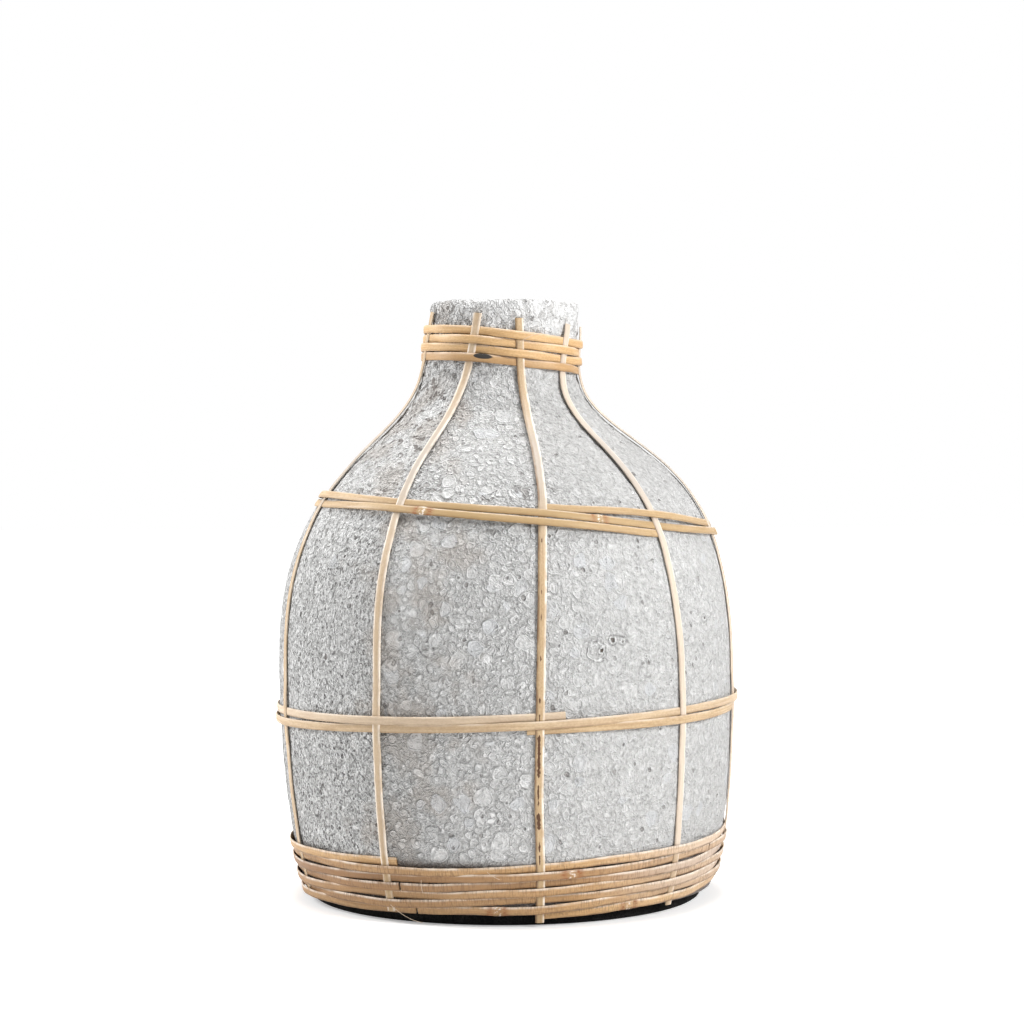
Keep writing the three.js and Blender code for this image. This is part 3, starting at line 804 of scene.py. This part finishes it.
def weaver_path(weave, first, last):
    """Points and outward directions of a weaver, with its count of passes."""
    count = int((last - first) * pass_length(weave) / PATH_STEP)
    passes = np.linspace(first, last, count)
    flat = (STAKE_WIDTH / 2 + CROSSING_MARGIN) / pass_length(weave)
    stake = np.clip(np.floor(passes), 0, weave.passes - 1)
    begin = np.where(goes_over(weave, stake), WEAVER_OVER, CANE_SEAT)
    end = np.where(goes_over(weave, stake + 1), WEAVER_OVER, CANE_SEAT)
    # The lowest turn of the base hugs the foot: it drops soon after a stake and rises just before one.
    hugs = (weave is base_weave) & (passes < STAKE_COUNT)
    reach = np.where(hugs, WEAVER_REACH / pass_length(weave), 1 - 2 * flat)
    waits = np.where(begin > end, flat, 1 - flat - reach)
    off = begin + (end - begin) * ease((passes - stake - waits) / reach)
    along = weave_along(weave, passes)
    return *spots_off(along, stake_angle(weave.first + passes, along), off), passes


def stake_path(stake):
    """Points and outward directions of a stake."""
    stretches = []
    for weave in WEAVES:
        passes = np.arange(weave.passes + 1)
        crossings = weave_along(weave, passes[(weave.first + passes) % STAKE_COUNT == stake])
        half = weave.width / 2 + CROSSING_MARGIN
        stretches.append((crossings.min() - half, crossings.max() + half))
    (neck_low, neck_high), (_, shoulder_high) = stretches[:2]
    top = neck_high - WEAVER_WIDTH / 2 - CROSSING_MARGIN + STAKE_STANDOUT
    start = along_at_height(STAKE_ENDS[stake])
    along = np.linspace(start, top, int((top - start) / PATH_STEP))
    gaps = [np.maximum(np.maximum(low - along, along - high), 0) for low, high in stretches]
    off = STAKE_RAISED + (CANE_SEAT - STAKE_RAISED) * ease(np.min(gaps, axis=0) / STAKE_LIFT_RUN)
    hollow = np.clip((along - shoulder_high) / (neck_low - shoulder_high), 0, 1)
    off += STAKE_BRIDGE * np.sin(math.pi * hollow)
    return spots_off(along, stake_angle(stake, along), off)


# %% [markdown]
# ## Cane finish
#
# Split cane has fibres along it, darker patches, cracks across it where it was bent, and knots. Its edges are
# painted paler or darker, as painted highlight and painted shade; on some stakes the pale edge is partly the
# cane's own. The patterns have to follow each strip round the vase. Object coordinates can't do that, so
# every strip carries its own numbers: how far along and across it a point lies, how much knot, bark or tone
# there is, and how its edges are painted. The materials read these numbers. Stakes and bands are pale, and
# the canes of the tight weaves are browner.

# %% Draw the grain and the marks of a cane
def cane_marks(graph):
    """Fields of a cane's surface, from the numbers that it carries. Lengths are in mm."""

    def own(title):
        return graph.add("ShaderNodeAttribute", attribute_name=title).outputs["Fac"]

    along, across, strip, bark = own("along"), own("across"), own("strip"), own("bark")

    def streaks(per_mm_along, per_mm_across, detail=2.0):
        place = (graph.times(along, per_mm_along), graph.times(across, per_mm_across))
        return graph.noise(graph.combine(*place, graph.times(strip, 13.7)), 1.0, detail)

    split = graph.ramp(streaks(1.7, 0.25), 0.47, 0.62)
    dry = graph.ramp(streaks(0.06, 0.3), 0.3, 0.55)
    # Painted highlight and painted shade along the two edges of the strip.
    first_edge_light = graph.times(graph.ramp(across, 0.7, 1.8), own("first_edge_light"))
    second_edge_light = graph.times(graph.ramp(across, -0.7, -1.8), own("second_edge_light"))
    edge_light_patches = graph.ramp(streaks(0.15, 0.2), 0.3, 0.65, 0.35, 1.5)
    from_scar = graph.times(graph.plus(across, 0.9), 0.75)
    ragged = graph.times(graph.plus(streaks(0.5, 0.9), -0.5), bark, 2.0)
    from_bark = graph.math("ABSOLUTE", graph.plus(across, 0.4))
    return SimpleNamespace(
        fibre=streaks(0.06, 1.8, 3.0),
        patchy=streaks(0.045, 0.35),
        speckle=graph.plus(streaks(0.9, 1.3, 3.0), -0.5),
        fleck=graph.ramp(streaks(0.4, 2.0), 0.56, 0.66),
        crack=graph.times(split, dry, own("cracks")),
        edge=graph.times(graph.plus(first_edge_light, second_edge_light), edge_light_patches),
        scar=graph.ramp(graph.minus(own("scar"), graph.times(from_scar, from_scar)), 0.0, 0.2),
        bark=graph.ramp(graph.minus(graph.plus(bark, ragged), from_bark), 0.0, 0.3),
        knot=own("knot"),
        tone=own("tone"),
        bleach=own("bleach"),
    )


# %% Build the two cane materials
STRAW = (0.69, 0.60, 0.515, 1)
# The two edge colours: a pale one, painted highlight partly over the cane's own pale edge, and a dark one,
# painted shade.
PALE_EDGE_AND_HIGHLIGHT = (0.88, 0.80, 0.70, 1)
EDGE_SHADE = (0.22, 0.13, 0.07, 1)
CRACK_BROWN = (0.17, 0.09, 0.045, 1)
BARK_BROWN = (0.075, 0.028, 0.008, 1)
KNOT_RED = (0.28, 0.095, 0.03, 1)
KNOT_SCUFF = (0.76, 0.68, 0.61, 1)
SCAR_BLACK = (0.02, 0.017, 0.015, 1)
CANE_BUMP = 0.001


def cane_material(name, pale, deep, brown, bleached):
    """Cane between a pale and a deep colour, brown where its tone is high and bleached where it is old."""
    material, graph, shader = new_material(name)
    mark = cane_marks(graph)

    def share(value, factor):
        return graph.math("MULTIPLY", value, factor, clamp=True)

    light = graph.plus(mark.fibre, graph.times(mark.patchy, 0.8), graph.times(mark.speckle, 0.9))
    knot_ring = graph.times(graph.bell(mark.knot, 0.5, 0.45), graph.plus(0.5, mark.fleck))
    knot_scuff = graph.times(graph.ramp(mark.knot, 0.8, 0.95), graph.ramp(mark.speckle, 0.0, 0.15))
    colour = graph.coats(
        graph.mix(graph.ramp(light, 0.55, 1.25), deep, pale),
        (share(mark.tone, 0.75), brown),
        (share(mark.tone, -1.0), STRAW),
        (mark.bleach, bleached),
        # Edges painted paler or darker: painted highlight and painted shade.
        (share(mark.edge, 1.0), PALE_EDGE_AND_HIGHLIGHT),
        (share(mark.edge, -1.0), EDGE_SHADE),
        (graph.times(mark.crack, 0.7), CRACK_BROWN),
        (mark.bark, BARK_BROWN),
        (knot_ring, KNOT_RED),
        (knot_scuff, KNOT_SCUFF),
        (mark.scar, SCAR_BLACK),
    )
    knot_flecks = graph.times(mark.knot, mark.fleck)
    height = graph.weigh((mark.fibre, 0.1), (mark.crack, -0.1), (knot_flecks, -0.15), (mark.patchy, 0.06))
    graph.fill(shader.inputs["Base Color"], colour)
    graph.fill(shader.inputs["Normal"], graph.bump(height, CANE_BUMP))
    graph.fill(shader.inputs["Roughness"], graph.ramp(mark.fibre, 0.3, 0.7, 0.62, 0.45))
    shader.inputs["Specular IOR Level"].default_value = 0.4
    print(f"{name} material: {len(graph.tree.nodes)} nodes")
    return material


CANE = cane_material(
    "cane",
    pale=(0.58, 0.425, 0.255, 1),
    deep=(0.42, 0.28, 0.15, 1),
    brown=(0.36, 0.235, 0.10, 1),
    bleached=(0.40, 0.365, 0.33, 1),
)
WOVEN_CANE = cane_material(
    "woven_cane",
    pale=(0.72, 0.48, 0.24, 1),
    deep=(0.54, 0.325, 0.14, 1),
    brown=(0.28, 0.145, 0.062, 1),
    bleached=(0.62, 0.52, 0.44, 1),
)

# %% [markdown]
# ## A strip along a path
#
# Cane is split from a round stem, so a strip has a rounded face outside and a flat one against the wall. A
# bevelled curve could carry such a section, but its roll would be hard to control. Here the tree gets the
# direction away from the wall at every point and sets it as the curve's normal, so the round face always
# looks outwards. The strip also wanders a little to its side, and swells at its knots.

# %% Build the tree that sweeps a strip along a path
def cane_tree():
    """Width, thickness and wander are in metres. Roundness below 1 makes the section squarer."""
    inputs = {
        "Width": ("Float", WEAVER_WIDTH),
        "Thickness": ("Float", WEAVER_THICKNESS),
        "Roundness": ("Float", 0.7),
        "Wander": ("Float", 0.0004),
        "Swell": ("Float", 0.12),
        "Strip": ("Float", 0.0),
        "Material": ("Material", None),
    }
    graph, given, result = node_shape("swept_cane", inputs)
    along = named(graph, "along")
    away = named(graph, "away", "FLOAT_VECTOR")

    def slow_noise(per_mm, row):
        place = graph.combine(graph.times(along, per_mm), given["Strip"], row)
        return graph.minus(graph.noise(place, 1.0), 0.5)

    curve = graph.add("GeometryNodeMeshToCurve", {"Mesh": given["Geometry"]}).outputs[0]
    tangent = graph.add("GeometryNodeInputTangent").outputs[0]
    beside = graph.vector("CROSS_PRODUCT", tangent, away)
    drift = graph.times(slow_noise(0.012, 9.0), given["Wander"], 2.0)
    path = move(graph, curve, Offset=graph.scaled(beside, drift))
    path = graph.add("GeometryNodeSetCurveNormal", {"Curve": path, "Normal": away}, mode="FREE").outputs[0]

    circle = graph.add("GeometryNodeCurvePrimitiveCircle", {"Resolution": 16, "Radius": 1.0}).outputs[0]
    x, y, _ = graph.separate(graph.add("GeometryNodeInputPosition").outputs[0])
    side = graph.math("POWER", graph.math("ABSOLUTE", x), given["Roundness"])
    across = graph.times(graph.math("SIGN", x), side, 0.5, given["Width"])
    crown = graph.math("POWER", graph.most(y, 0.0), given["Roundness"])
    out = graph.plus(0.4, graph.times(crown, 0.6), graph.times(graph.math("MINIMUM", y, 0.0), 0.4))
    section = graph.combine(graph.times(out, given["Thickness"]), across, 0.0)
    section = move(graph, store(graph, circle, "across", graph.times(across, 1000.0)), Position=section)

    knots = graph.times(named(graph, "knot"), given["Swell"])
    size = graph.plus(1.0, graph.times(slow_noise(0.05, 0.0), 0.16), knots)
    sweep = {"Curve": path, "Profile Curve": section, "Scale": size, "Fill Caps": True}
    strip = graph.add("GeometryNodeCurveToMesh", sweep).outputs[0]
    return end_tree(graph, store(graph, strip, "strip", given["Strip"]), given["Material"], result)


CANE_TREE = cane_tree()
NO_MARKS = dict(knot=0, bark=0, tone=0, bleach=0, scar=0, cracks=0, first_edge_light=0, second_edge_light=0)


def add_cane(name, points, away, marks, **values):
    """A cane along points, with its marks given as numbers or as arrays along it."""
    steps = np.linalg.norm(np.diff(points, axis=0), axis=1)
    along = np.concatenate([[0], np.cumsum(steps)]) * 1000
    marks = {title: np.broadcast_to(value, along.shape) for title, value in {**NO_MARKS, **marks}.items()}
    path = polyline(name + "_path", points, away=away, along=along, **marks)
    return grow(name, path, CANE_TREE, values)


print(f"swept cane: {len(CANE_TREE.nodes)} nodes")

# %% [markdown]
# ## Stakes
#
# Nine upright canes start at the foot and end above the neck weave. Each has its own tone and its own two
# edges, left and right, painted paler or darker as highlight and shade. They are bleached at the shoulder,
# and browner behind the base weave, as painted shade.
# The front one still wears strips of bark: a table gives each patch a height and half a length in metres,
# and half a width in mm. Painting the patches on an image would fix them to one picture, while a
# table of real sizes can be read and changed.

# %% Lay the stakes
DRAWN_STAKE_WIDTH = 0.0042
BLEACHED_HEIGHT = 0.214
BLEACHED_HALF = 0.028
BLEACHED_SHARE = 0.75
# Painted shade on the stakes where they run behind the base weave.
SHADE_BEHIND_WEAVE_HEIGHT = 0.034
SHADE_BEHIND_WEAVE_RUN = 0.006
SHADE_BEHIND_WEAVE_TONE = 0.5
STAKE_TONES = (0.05, -0.7, -0.5, 0.0, -0.1, 0.1, 0.0, 0.1, -0.2)
# Each stake's (left, right) edges: above 0 painted paler as highlight, partly over its own pale edge; below 0
# painted darker as shade.
STAKE_EDGE_LIGHTS = (
    (-0.6, 0.7), (-0.2, 0.6), (0.2, 0.2), (0.3, 0.3), (0.3, 0.3), (0.3, 0.3), (0.3, 0.3), (0.5, 0.3),
    (0.6, 0.5),
)
BARK_PATCHES = (
    (0.0802, 0.0093, 0.75), (0.0626, 0.0050, 0.5), (0.0505, 0.0034, 0.95), (0.0388, 0.0026, 0.5),
    (0.0322, 0.0023, 0.45), (0.0978, 0.0025, 0.45), (0.1055, 0.0013, 0.5), (0.178, 0.0012, 0.35),
    (0.155, 0.0012, 0.4), (0.144, 0.0018, 0.35), (0.125, 0.0012, 0.5),
)


def stake_marks(stake, height):
    bark = [wide * (np.abs(height - middle) < half) for middle, half, wide in BARK_PATCHES]
    # Painted shade: a stake is browner where it runs behind the base weave.
    stake_shade_behind_weave = np.clip((SHADE_BEHIND_WEAVE_HEIGHT - height) / SHADE_BEHIND_WEAVE_RUN, 0, 1)
    left_edge_light, right_edge_light = STAKE_EDGE_LIGHTS[stake]
    return dict(
        bark=np.max(bark, axis=0) * (stake == 0),
        tone=STAKE_TONES[stake] + SHADE_BEHIND_WEAVE_TONE * stake_shade_behind_weave,
        bleach=BLEACHED_SHARE * np.exp(-((height - BLEACHED_HEIGHT) / BLEACHED_HALF) ** 2),
        first_edge_light=right_edge_light,
        second_edge_light=left_edge_light,
    )


for stake in range(STAKE_COUNT):
    points, away = stake_path(stake)
    sizes = dict(Width=DRAWN_STAKE_WIDTH, Thickness=STAKE_THICKNESS, Strip=float(stake), Material=CANE)
    piece = add_cane(f"cane_stake_{stake + 1}", points, away, stake_marks(stake, points[:, 2]), **sizes)
    finish_piece(piece, "cane", f"stake_{stake + 1}")

# %% [markdown]
# ## Weavers
#
# One weaver makes each band, except at the base, where four strips are laid end to end with a small gap at
# each join. Every place on a weaver is told by its count of passes, so tones, knots and the dark scar at
# the neck are tables of passes too. The base strips are cracked across and less straight, and at the right
# some rows are bleached.

# %% List the bands
HIDDEN_TAIL = 0.002
BELLY_START_TAIL = 0.006
BELLY_END_TAIL = 0.012
BASE_END_TAIL = 0.0065
JOIN_GAP = 0.001
BASE_JOIN_TURNS = (0.91, 3.9, 5.16)
DRAWN_WEAVE_WIDTH = 0.0041


def passes_in(weave, length):
    """A length of a weaver as a count of passes."""
    return length / pass_length(weave)


def band_ends(weave, start_tail, end_tail, joins=()):
    return [-passes_in(weave, start_tail), *joins, weave.passes + passes_in(weave, end_tail)]


base_joins = [turns * STAKE_COUNT for turns in BASE_JOIN_TURNS]
BANDS = (
    SimpleNamespace(
        weave=neck_weave, nodes=["neck_weave"], ends=band_ends(neck_weave, HIDDEN_TAIL, HIDDEN_TAIL),
        join=0.0, knots=(), slot="woven_cane", material=WOVEN_CANE, width=DRAWN_WEAVE_WIDTH,
        wander=0.0005, edges=(-0.3, 0.25), tones=((0, 0.7), (4, 0.6), (9, 0.3), (12, 0.1))),
    SimpleNamespace(
        weave=shoulder_band, nodes=["shoulder_band"], ends=band_ends(shoulder_band, HIDDEN_TAIL, HIDDEN_TAIL),
        join=0.0, knots=(9.46, 17.2), slot="cane", material=CANE, width=WEAVER_WIDTH,
        wander=0.0005, edges=(-0.3, 0.25), tones=(
            (0, 0.7), (1.5, 0.5), (6.8, 0), (7.6, 0.1), (8.4, 1.1), (9.2, 1.1), (10.5, 0.6), (15.8, 0.1),
            (16.6, 0.3), (17.4, 1.1), (18.2, 1), (19, 0.5))),
    SimpleNamespace(
        weave=belly_band, nodes=["belly_band"], ends=band_ends(belly_band, BELLY_START_TAIL, BELLY_END_TAIL),
        join=0.0, knots=(), slot="cane", material=CANE, width=WEAVER_WIDTH,
        wander=0.0005, edges=(-0.3, 0.25), tones=((0, 0.1), (9, -0.1), (18, -0.35))),
    SimpleNamespace(
        weave=base_weave, nodes=[f"base_weave_{number}" for number in (1, 2, 3, 4)],
        ends=band_ends(base_weave, HIDDEN_TAIL, BASE_END_TAIL, base_joins),
        join=JOIN_GAP, knots=(0.63, 8.73, 40.2, 45.2), slot="woven_cane", material=WOVEN_CANE,
        width=DRAWN_WEAVE_WIDTH, wander=0.0022, edges=(-0.6, 0.45), tones=(
            (4, 0.35), (13, 0.95), (22, 0.7), (31, 0.75), (40, 1.3), (49, 0.75), (53, 0.65), (58, 0.2))),
)
print("bands:", len(BANDS), "strips:", sum(len(band.nodes) for band in BANDS))

# %% Lay the weavers
KNOT_HALF = 0.004
SCAR_PASS = 3.27
SCAR_HALF = 0.19
BASE_BLEACH = ((1, 0.2), (10, 0.35), (19, 0.6), (28, 0.35), (37, 0.6), (46, 0.25), (55, 0.55))
FIRST_WEAVER_STRIP = 20.0


def knots_at(passes, places, half):
    return np.max([np.exp(-((passes - place) / half) ** 2) for place in places] or [0 * passes], axis=0)


def weaver_marks(band, passes):
    # A weaver's lower edge is painted darker and its upper edge paler: painted shade and highlight from the
    # light above.
    lower_edge_light, upper_edge_light = band.edges
    marks = dict(
        knot=knots_at(passes, band.knots, passes_in(band.weave, KNOT_HALF)),
        tone=np.interp(passes, *np.transpose(band.tones)),
        first_edge_light=lower_edge_light,
        second_edge_light=upper_edge_light,
    )
    if band.weave is neck_weave:
        marks["scar"] = np.maximum(1 - ((passes - SCAR_PASS) / SCAR_HALF) ** 2, 0)
    if band.weave is base_weave:
        side = np.sin(np.radians(FRONT_STAKE_ANGLE + passes * STAKE_SPACING))
        marks["tone"] = marks["tone"] - 0.25 * side
        marks["cracks"] = 0.25 + 0.75 * np.cos(passes * 0.175 + 0.7) ** 2
        marks["bleach"] = ease((side - 0.3) / 0.55) * np.interp(passes, *np.transpose(BASE_BLEACH))
    return marks


strip_number = FIRST_WEAVER_STRIP
for band in BANDS:
    half_join = passes_in(band.weave, band.join) / 2
    sizes = dict(Width=band.width, Thickness=WEAVER_THICKNESS, Wander=band.wander, Material=band.material)
    for node, begin, end in zip(band.nodes, band.ends, band.ends[1:]):
        points, away, passes = weaver_path(band.weave, begin + half_join, end - half_join)
        marks = weaver_marks(band, passes)
        piece = add_cane("cane_" + node, points, away, marks, Strip=strip_number, **sizes)
        finish_piece(piece, band.slot, node)
        strip_number += 1

# %% [markdown]
# ## Loose fibres
#
# A few hairs have split off the cane and stand away from it. A particle system would scatter them anywhere,
# and they are only five, so each is a curve through three places: an angle, a height and a distance off
# the wall. The same tree sweeps them, as very thin canes.

# %% Let a few fibres hang loose
FIBRE_WIDTH = 0.0002
FIBRE_POINTS = 24
FIRST_FIBRE_STRIP = 40.0
FIBRES = (
    ((86, 0.064, 0.003), (86, 0.055, 0.006), (86, 0.045, 0.001)),
    ((-21.5, 0.023, 0.004), (-21.6, 0.020, 0.0046), (-21.4, 0.017, 0.004)),
    ((-31, 0.010, 0.004), (-26, 0.004, 0.006), (-22, 0.003, 0.005)),
    ((-5, 0.028, 0.004), (-3.5, 0.026, 0.005), (-2, 0.0245, 0.004)),
    ((12, 0.272, 0.003), (20, 0.276, 0.004), (28, 0.2765, 0.003)),
)
for number, (begin, middle, end) in enumerate(FIBRES):
    ends = [(angle, along_at_height(height), off) for angle, height, off in (begin, middle, end)]
    angles, along, offs = rounding(*ends, count=FIBRE_POINTS).T
    points, away = spots_off(along, angles, offs)
    sizes = dict(Width=FIBRE_WIDTH, Thickness=FIBRE_WIDTH, Wander=0.0, Material=CANE)
    strip_number = FIRST_FIBRE_STRIP + number
    fibre = add_cane(f"loose_fibre_{number + 1}", points, away, dict(tone=-0.5), Strip=strip_number, **sizes)
    finish_piece(fibre, "cane")

# %% [markdown]
# ## Felt pad
#
# A black felt disc under the foot keeps the concrete off the table, and its cut edge is a little frayed.
# A plain cylinder would have a hard, clean edge. This one is turned like the vessel, from an outline with
# rounded corners, and noise pushes its edge in and out but leaves its faces flat.

# %% Build the felt
FELT_DARK = (0.006, 0.006, 0.006, 1)
FELT_PALE = (0.028, 0.027, 0.026, 1)
FELT_BUMP = 0.0006


def felt_material():
    material, graph, shader = new_material("felt")
    place = graph.object_place()
    fibre = graph.noise(place, 0.9, detail=4.0, roughness=0.7)
    light = graph.plus(fibre, graph.times(graph.noise(place, 6.0), 0.4))
    graph.fill(shader.inputs["Base Color"], graph.mix(graph.ramp(light, 0.5, 1.0), FELT_DARK, FELT_PALE))
    graph.fill(shader.inputs["Normal"], graph.bump(fibre, FELT_BUMP))
    shader.inputs["Roughness"].default_value = 1.0
    shader.inputs["Specular IOR Level"].default_value = 0.1
    print(f"{material.name} material: {len(graph.tree.nodes)} nodes")
    return material


FELT = felt_material()

# %% Cut the pad
PAD_RADIUS = 0.0965
PAD_COLUMNS = 360
PAD_ROWS = np.array([
    (0, 0), (0.5, 0), (0.9, 0), (0.985, 0.0001), (0.997, 0.0008), (1, 0.002),
    (1, 0.0036), (0.997, 0.0048), (0.985, 0.0054), (0.9, PAD_TOP), (0.5, PAD_TOP), (0, PAD_TOP),
])


def pad_tree(row_count):
    inputs = {"Columns": ("Int", PAD_COLUMNS), "Fray": ("Float", 0.0006), "Material": ("Material", None)}
    graph, given, result = node_shape("felt_disc", inputs)
    closed = turn_round(graph, given, row_count)
    place = graph.scaled(graph.add("GeometryNodeInputPosition").outputs[0], 1000.0)
    fray = graph.times(graph.minus(graph.noise(place, 1.6, 3.0), 0.6), given["Fray"], 2.0)
    normal = graph.add("GeometryNodeInputNormal").outputs[0]
    outward = graph.vector("MULTIPLY", normal, (1.0, 1.0, 0.0))
    frayed = move(graph, closed, Offset=graph.scaled(outward, fray))
    return end_tree(graph, frayed, given["Material"], result)


pad_points = np.stack([PAD_ROWS[:, 0] * PAD_RADIUS, 0 * PAD_ROWS[:, 0], PAD_ROWS[:, 1]], axis=1)
pad_outline = polyline("pad_outline", pad_points, rough=np.ones(len(pad_points)))
pad = grow("felt_disc", pad_outline, pad_tree(len(pad_points)), {"Material": FELT})
finish_piece(pad, "felt", "felt_pad")

# %% [markdown]
# ## Floor and background
#
# The vase stands on a white table in a white tent. More light would burn out its pale concrete, so the
# white comes another way: the floor and the world glow for rays that come straight from the camera, or by
# way of a gloss, and stay dim for rays that light the object. Close to the vase the floor glows less, and
# so it keeps the shadow.

# %% Lay the floor and hang the sky
FLOOR_WHITE = (0.86, 0.86, 0.86, 1)
FLOOR_REACH = 6.0
SHADOW_FROM = 0.12
SHADOW_TO = 0.5
SHADOW_GLOW = 0.35
SKY_LIGHT = 0.24


def seen_directly(graph):
    """1 on rays from the camera, or by way of a gloss or a clear piece, and 0 on rays that light things."""
    rays = graph.add("ShaderNodeLightPath").outputs
    mirrored = graph.most(rays["Is Glossy Ray"], rays["Is Transmission Ray"])
    return graph.most(rays["Is Camera Ray"], mirrored)


def floor_material():
    material, graph, shader = new_material("white_floor")
    surface = shader.outputs[0].links[0].to_socket
    shader.inputs["Base Color"].default_value = FLOOR_WHITE
    shader.inputs["Roughness"].default_value = 0.9
    shader.inputs["Specular IOR Level"].default_value = 0.0
    place = graph.add("ShaderNodeTexCoord").outputs["Object"]
    far = graph.add("ShaderNodeVectorMath", {0: place}, operation="LENGTH").outputs["Value"]
    strength = graph.times(seen_directly(graph), graph.ramp(far, SHADOW_FROM, SHADOW_TO, SHADOW_GLOW, 1.0))
    glow = graph.add("ShaderNodeEmission", {"Strength": strength})
    both = graph.add("ShaderNodeAddShader", {0: shader.outputs[0], 1: glow.outputs[0]})
    graph.fill(surface, both.outputs[0])
    return material


floor_corners = [(x * FLOOR_REACH, y * FLOOR_REACH, 0) for x, y in ((-1, -1), (1, -1), (1, 1), (-1, 1))]
floor_mesh = bpy.data.meshes.new("floor")
floor_mesh.from_pydata(floor_corners, [], [(0, 1, 2, 3)])
floor_mesh.materials.append(floor_material())
floor = bpy.data.objects.new("floor", floor_mesh)
bpy.context.scene.collection.objects.link(floor)

world = bpy.data.worlds.new("white_tent")
bpy.context.scene.world = world
world.use_nodes = True
world.node_tree.nodes.clear()
sky_graph = Graph(world.node_tree)
sky_strength = sky_graph.ramp(seen_directly(sky_graph), 0.0, 1.0, SKY_LIGHT, 1.0)
sky = sky_graph.add("ShaderNodeBackground", {"Color": (1, 1, 1, 1), "Strength": sky_strength})
sky_graph.fill(sky_graph.add("ShaderNodeOutputWorld").inputs[0], sky.outputs[0])
print("floor", floor.name, "and world", world.name)

# %% [markdown]
# ## Light and camera
#
# Three soft boxes light the vase. The right one shines from the front. The left one stands a little behind
# the vase, and its low angle brings out the rings on the left. The top one lights the neck. The camera's
# place comes from the outline of the vase in the picture: the curves of its base and its neck give the
# camera's height, and its size gives the distance.

# %% Set the lights
def area_light(name, place, aim, size, watts):
    light = bpy.data.lights.new(name, "AREA")
    light.shape = "RECTANGLE"
    light.size, light.size_y = size
    light.energy = watts
    lamp = bpy.data.objects.new(name, light)
    lamp.location = place
    lamp.rotation_euler = (Vector(aim) - Vector(place)).to_track_quat("-Z", "Y").to_euler()
    bpy.context.scene.collection.objects.link(lamp)
    print(f"{name}: {watts} W")


area_light("right_softbox", place=(1.2, -0.86, 0.9), aim=(0, 0, 0.14), size=(0.4, 0.6), watts=24)
area_light("left_softbox", place=(-1.3, 0.3, 0.75), aim=(0, 0, 0.14), size=(0.3, 0.6), watts=19)
area_light("top_softbox", place=(0.0, 0.0, 1.5), aim=(0, 0, 0.1), size=(0.6, 0.6), watts=17)

# %% Set the camera
FOCAL_PIXELS = 2576
IMAGE_PIXELS = 1024
CAMERA_PLACE = (0, -1.283, 0.2195)
CAMERA_PAN = -0.156
CAMERA_TILT = -1.35
CAMERA_ROLL = -0.2
camera_data = bpy.data.cameras.new("camera")
camera_data.lens = camera_data.sensor_width * FOCAL_PIXELS / IMAGE_PIXELS
camera = bpy.data.objects.new("camera", camera_data)
camera.matrix_world = (
    Matrix.Translation(CAMERA_PLACE)
    @ Matrix.Rotation(math.radians(CAMERA_PAN), 4, "Z")
    @ Matrix.Rotation(math.radians(90 + CAMERA_TILT), 4, "X")
    @ Matrix.Rotation(math.radians(CAMERA_ROLL), 4, "Z")
)
bpy.context.scene.collection.objects.link(camera)
bpy.context.scene.camera = camera
bpy.context.scene.view_settings.view_transform = "Standard"
print(f"camera: {camera_data.lens:.1f} mm lens")
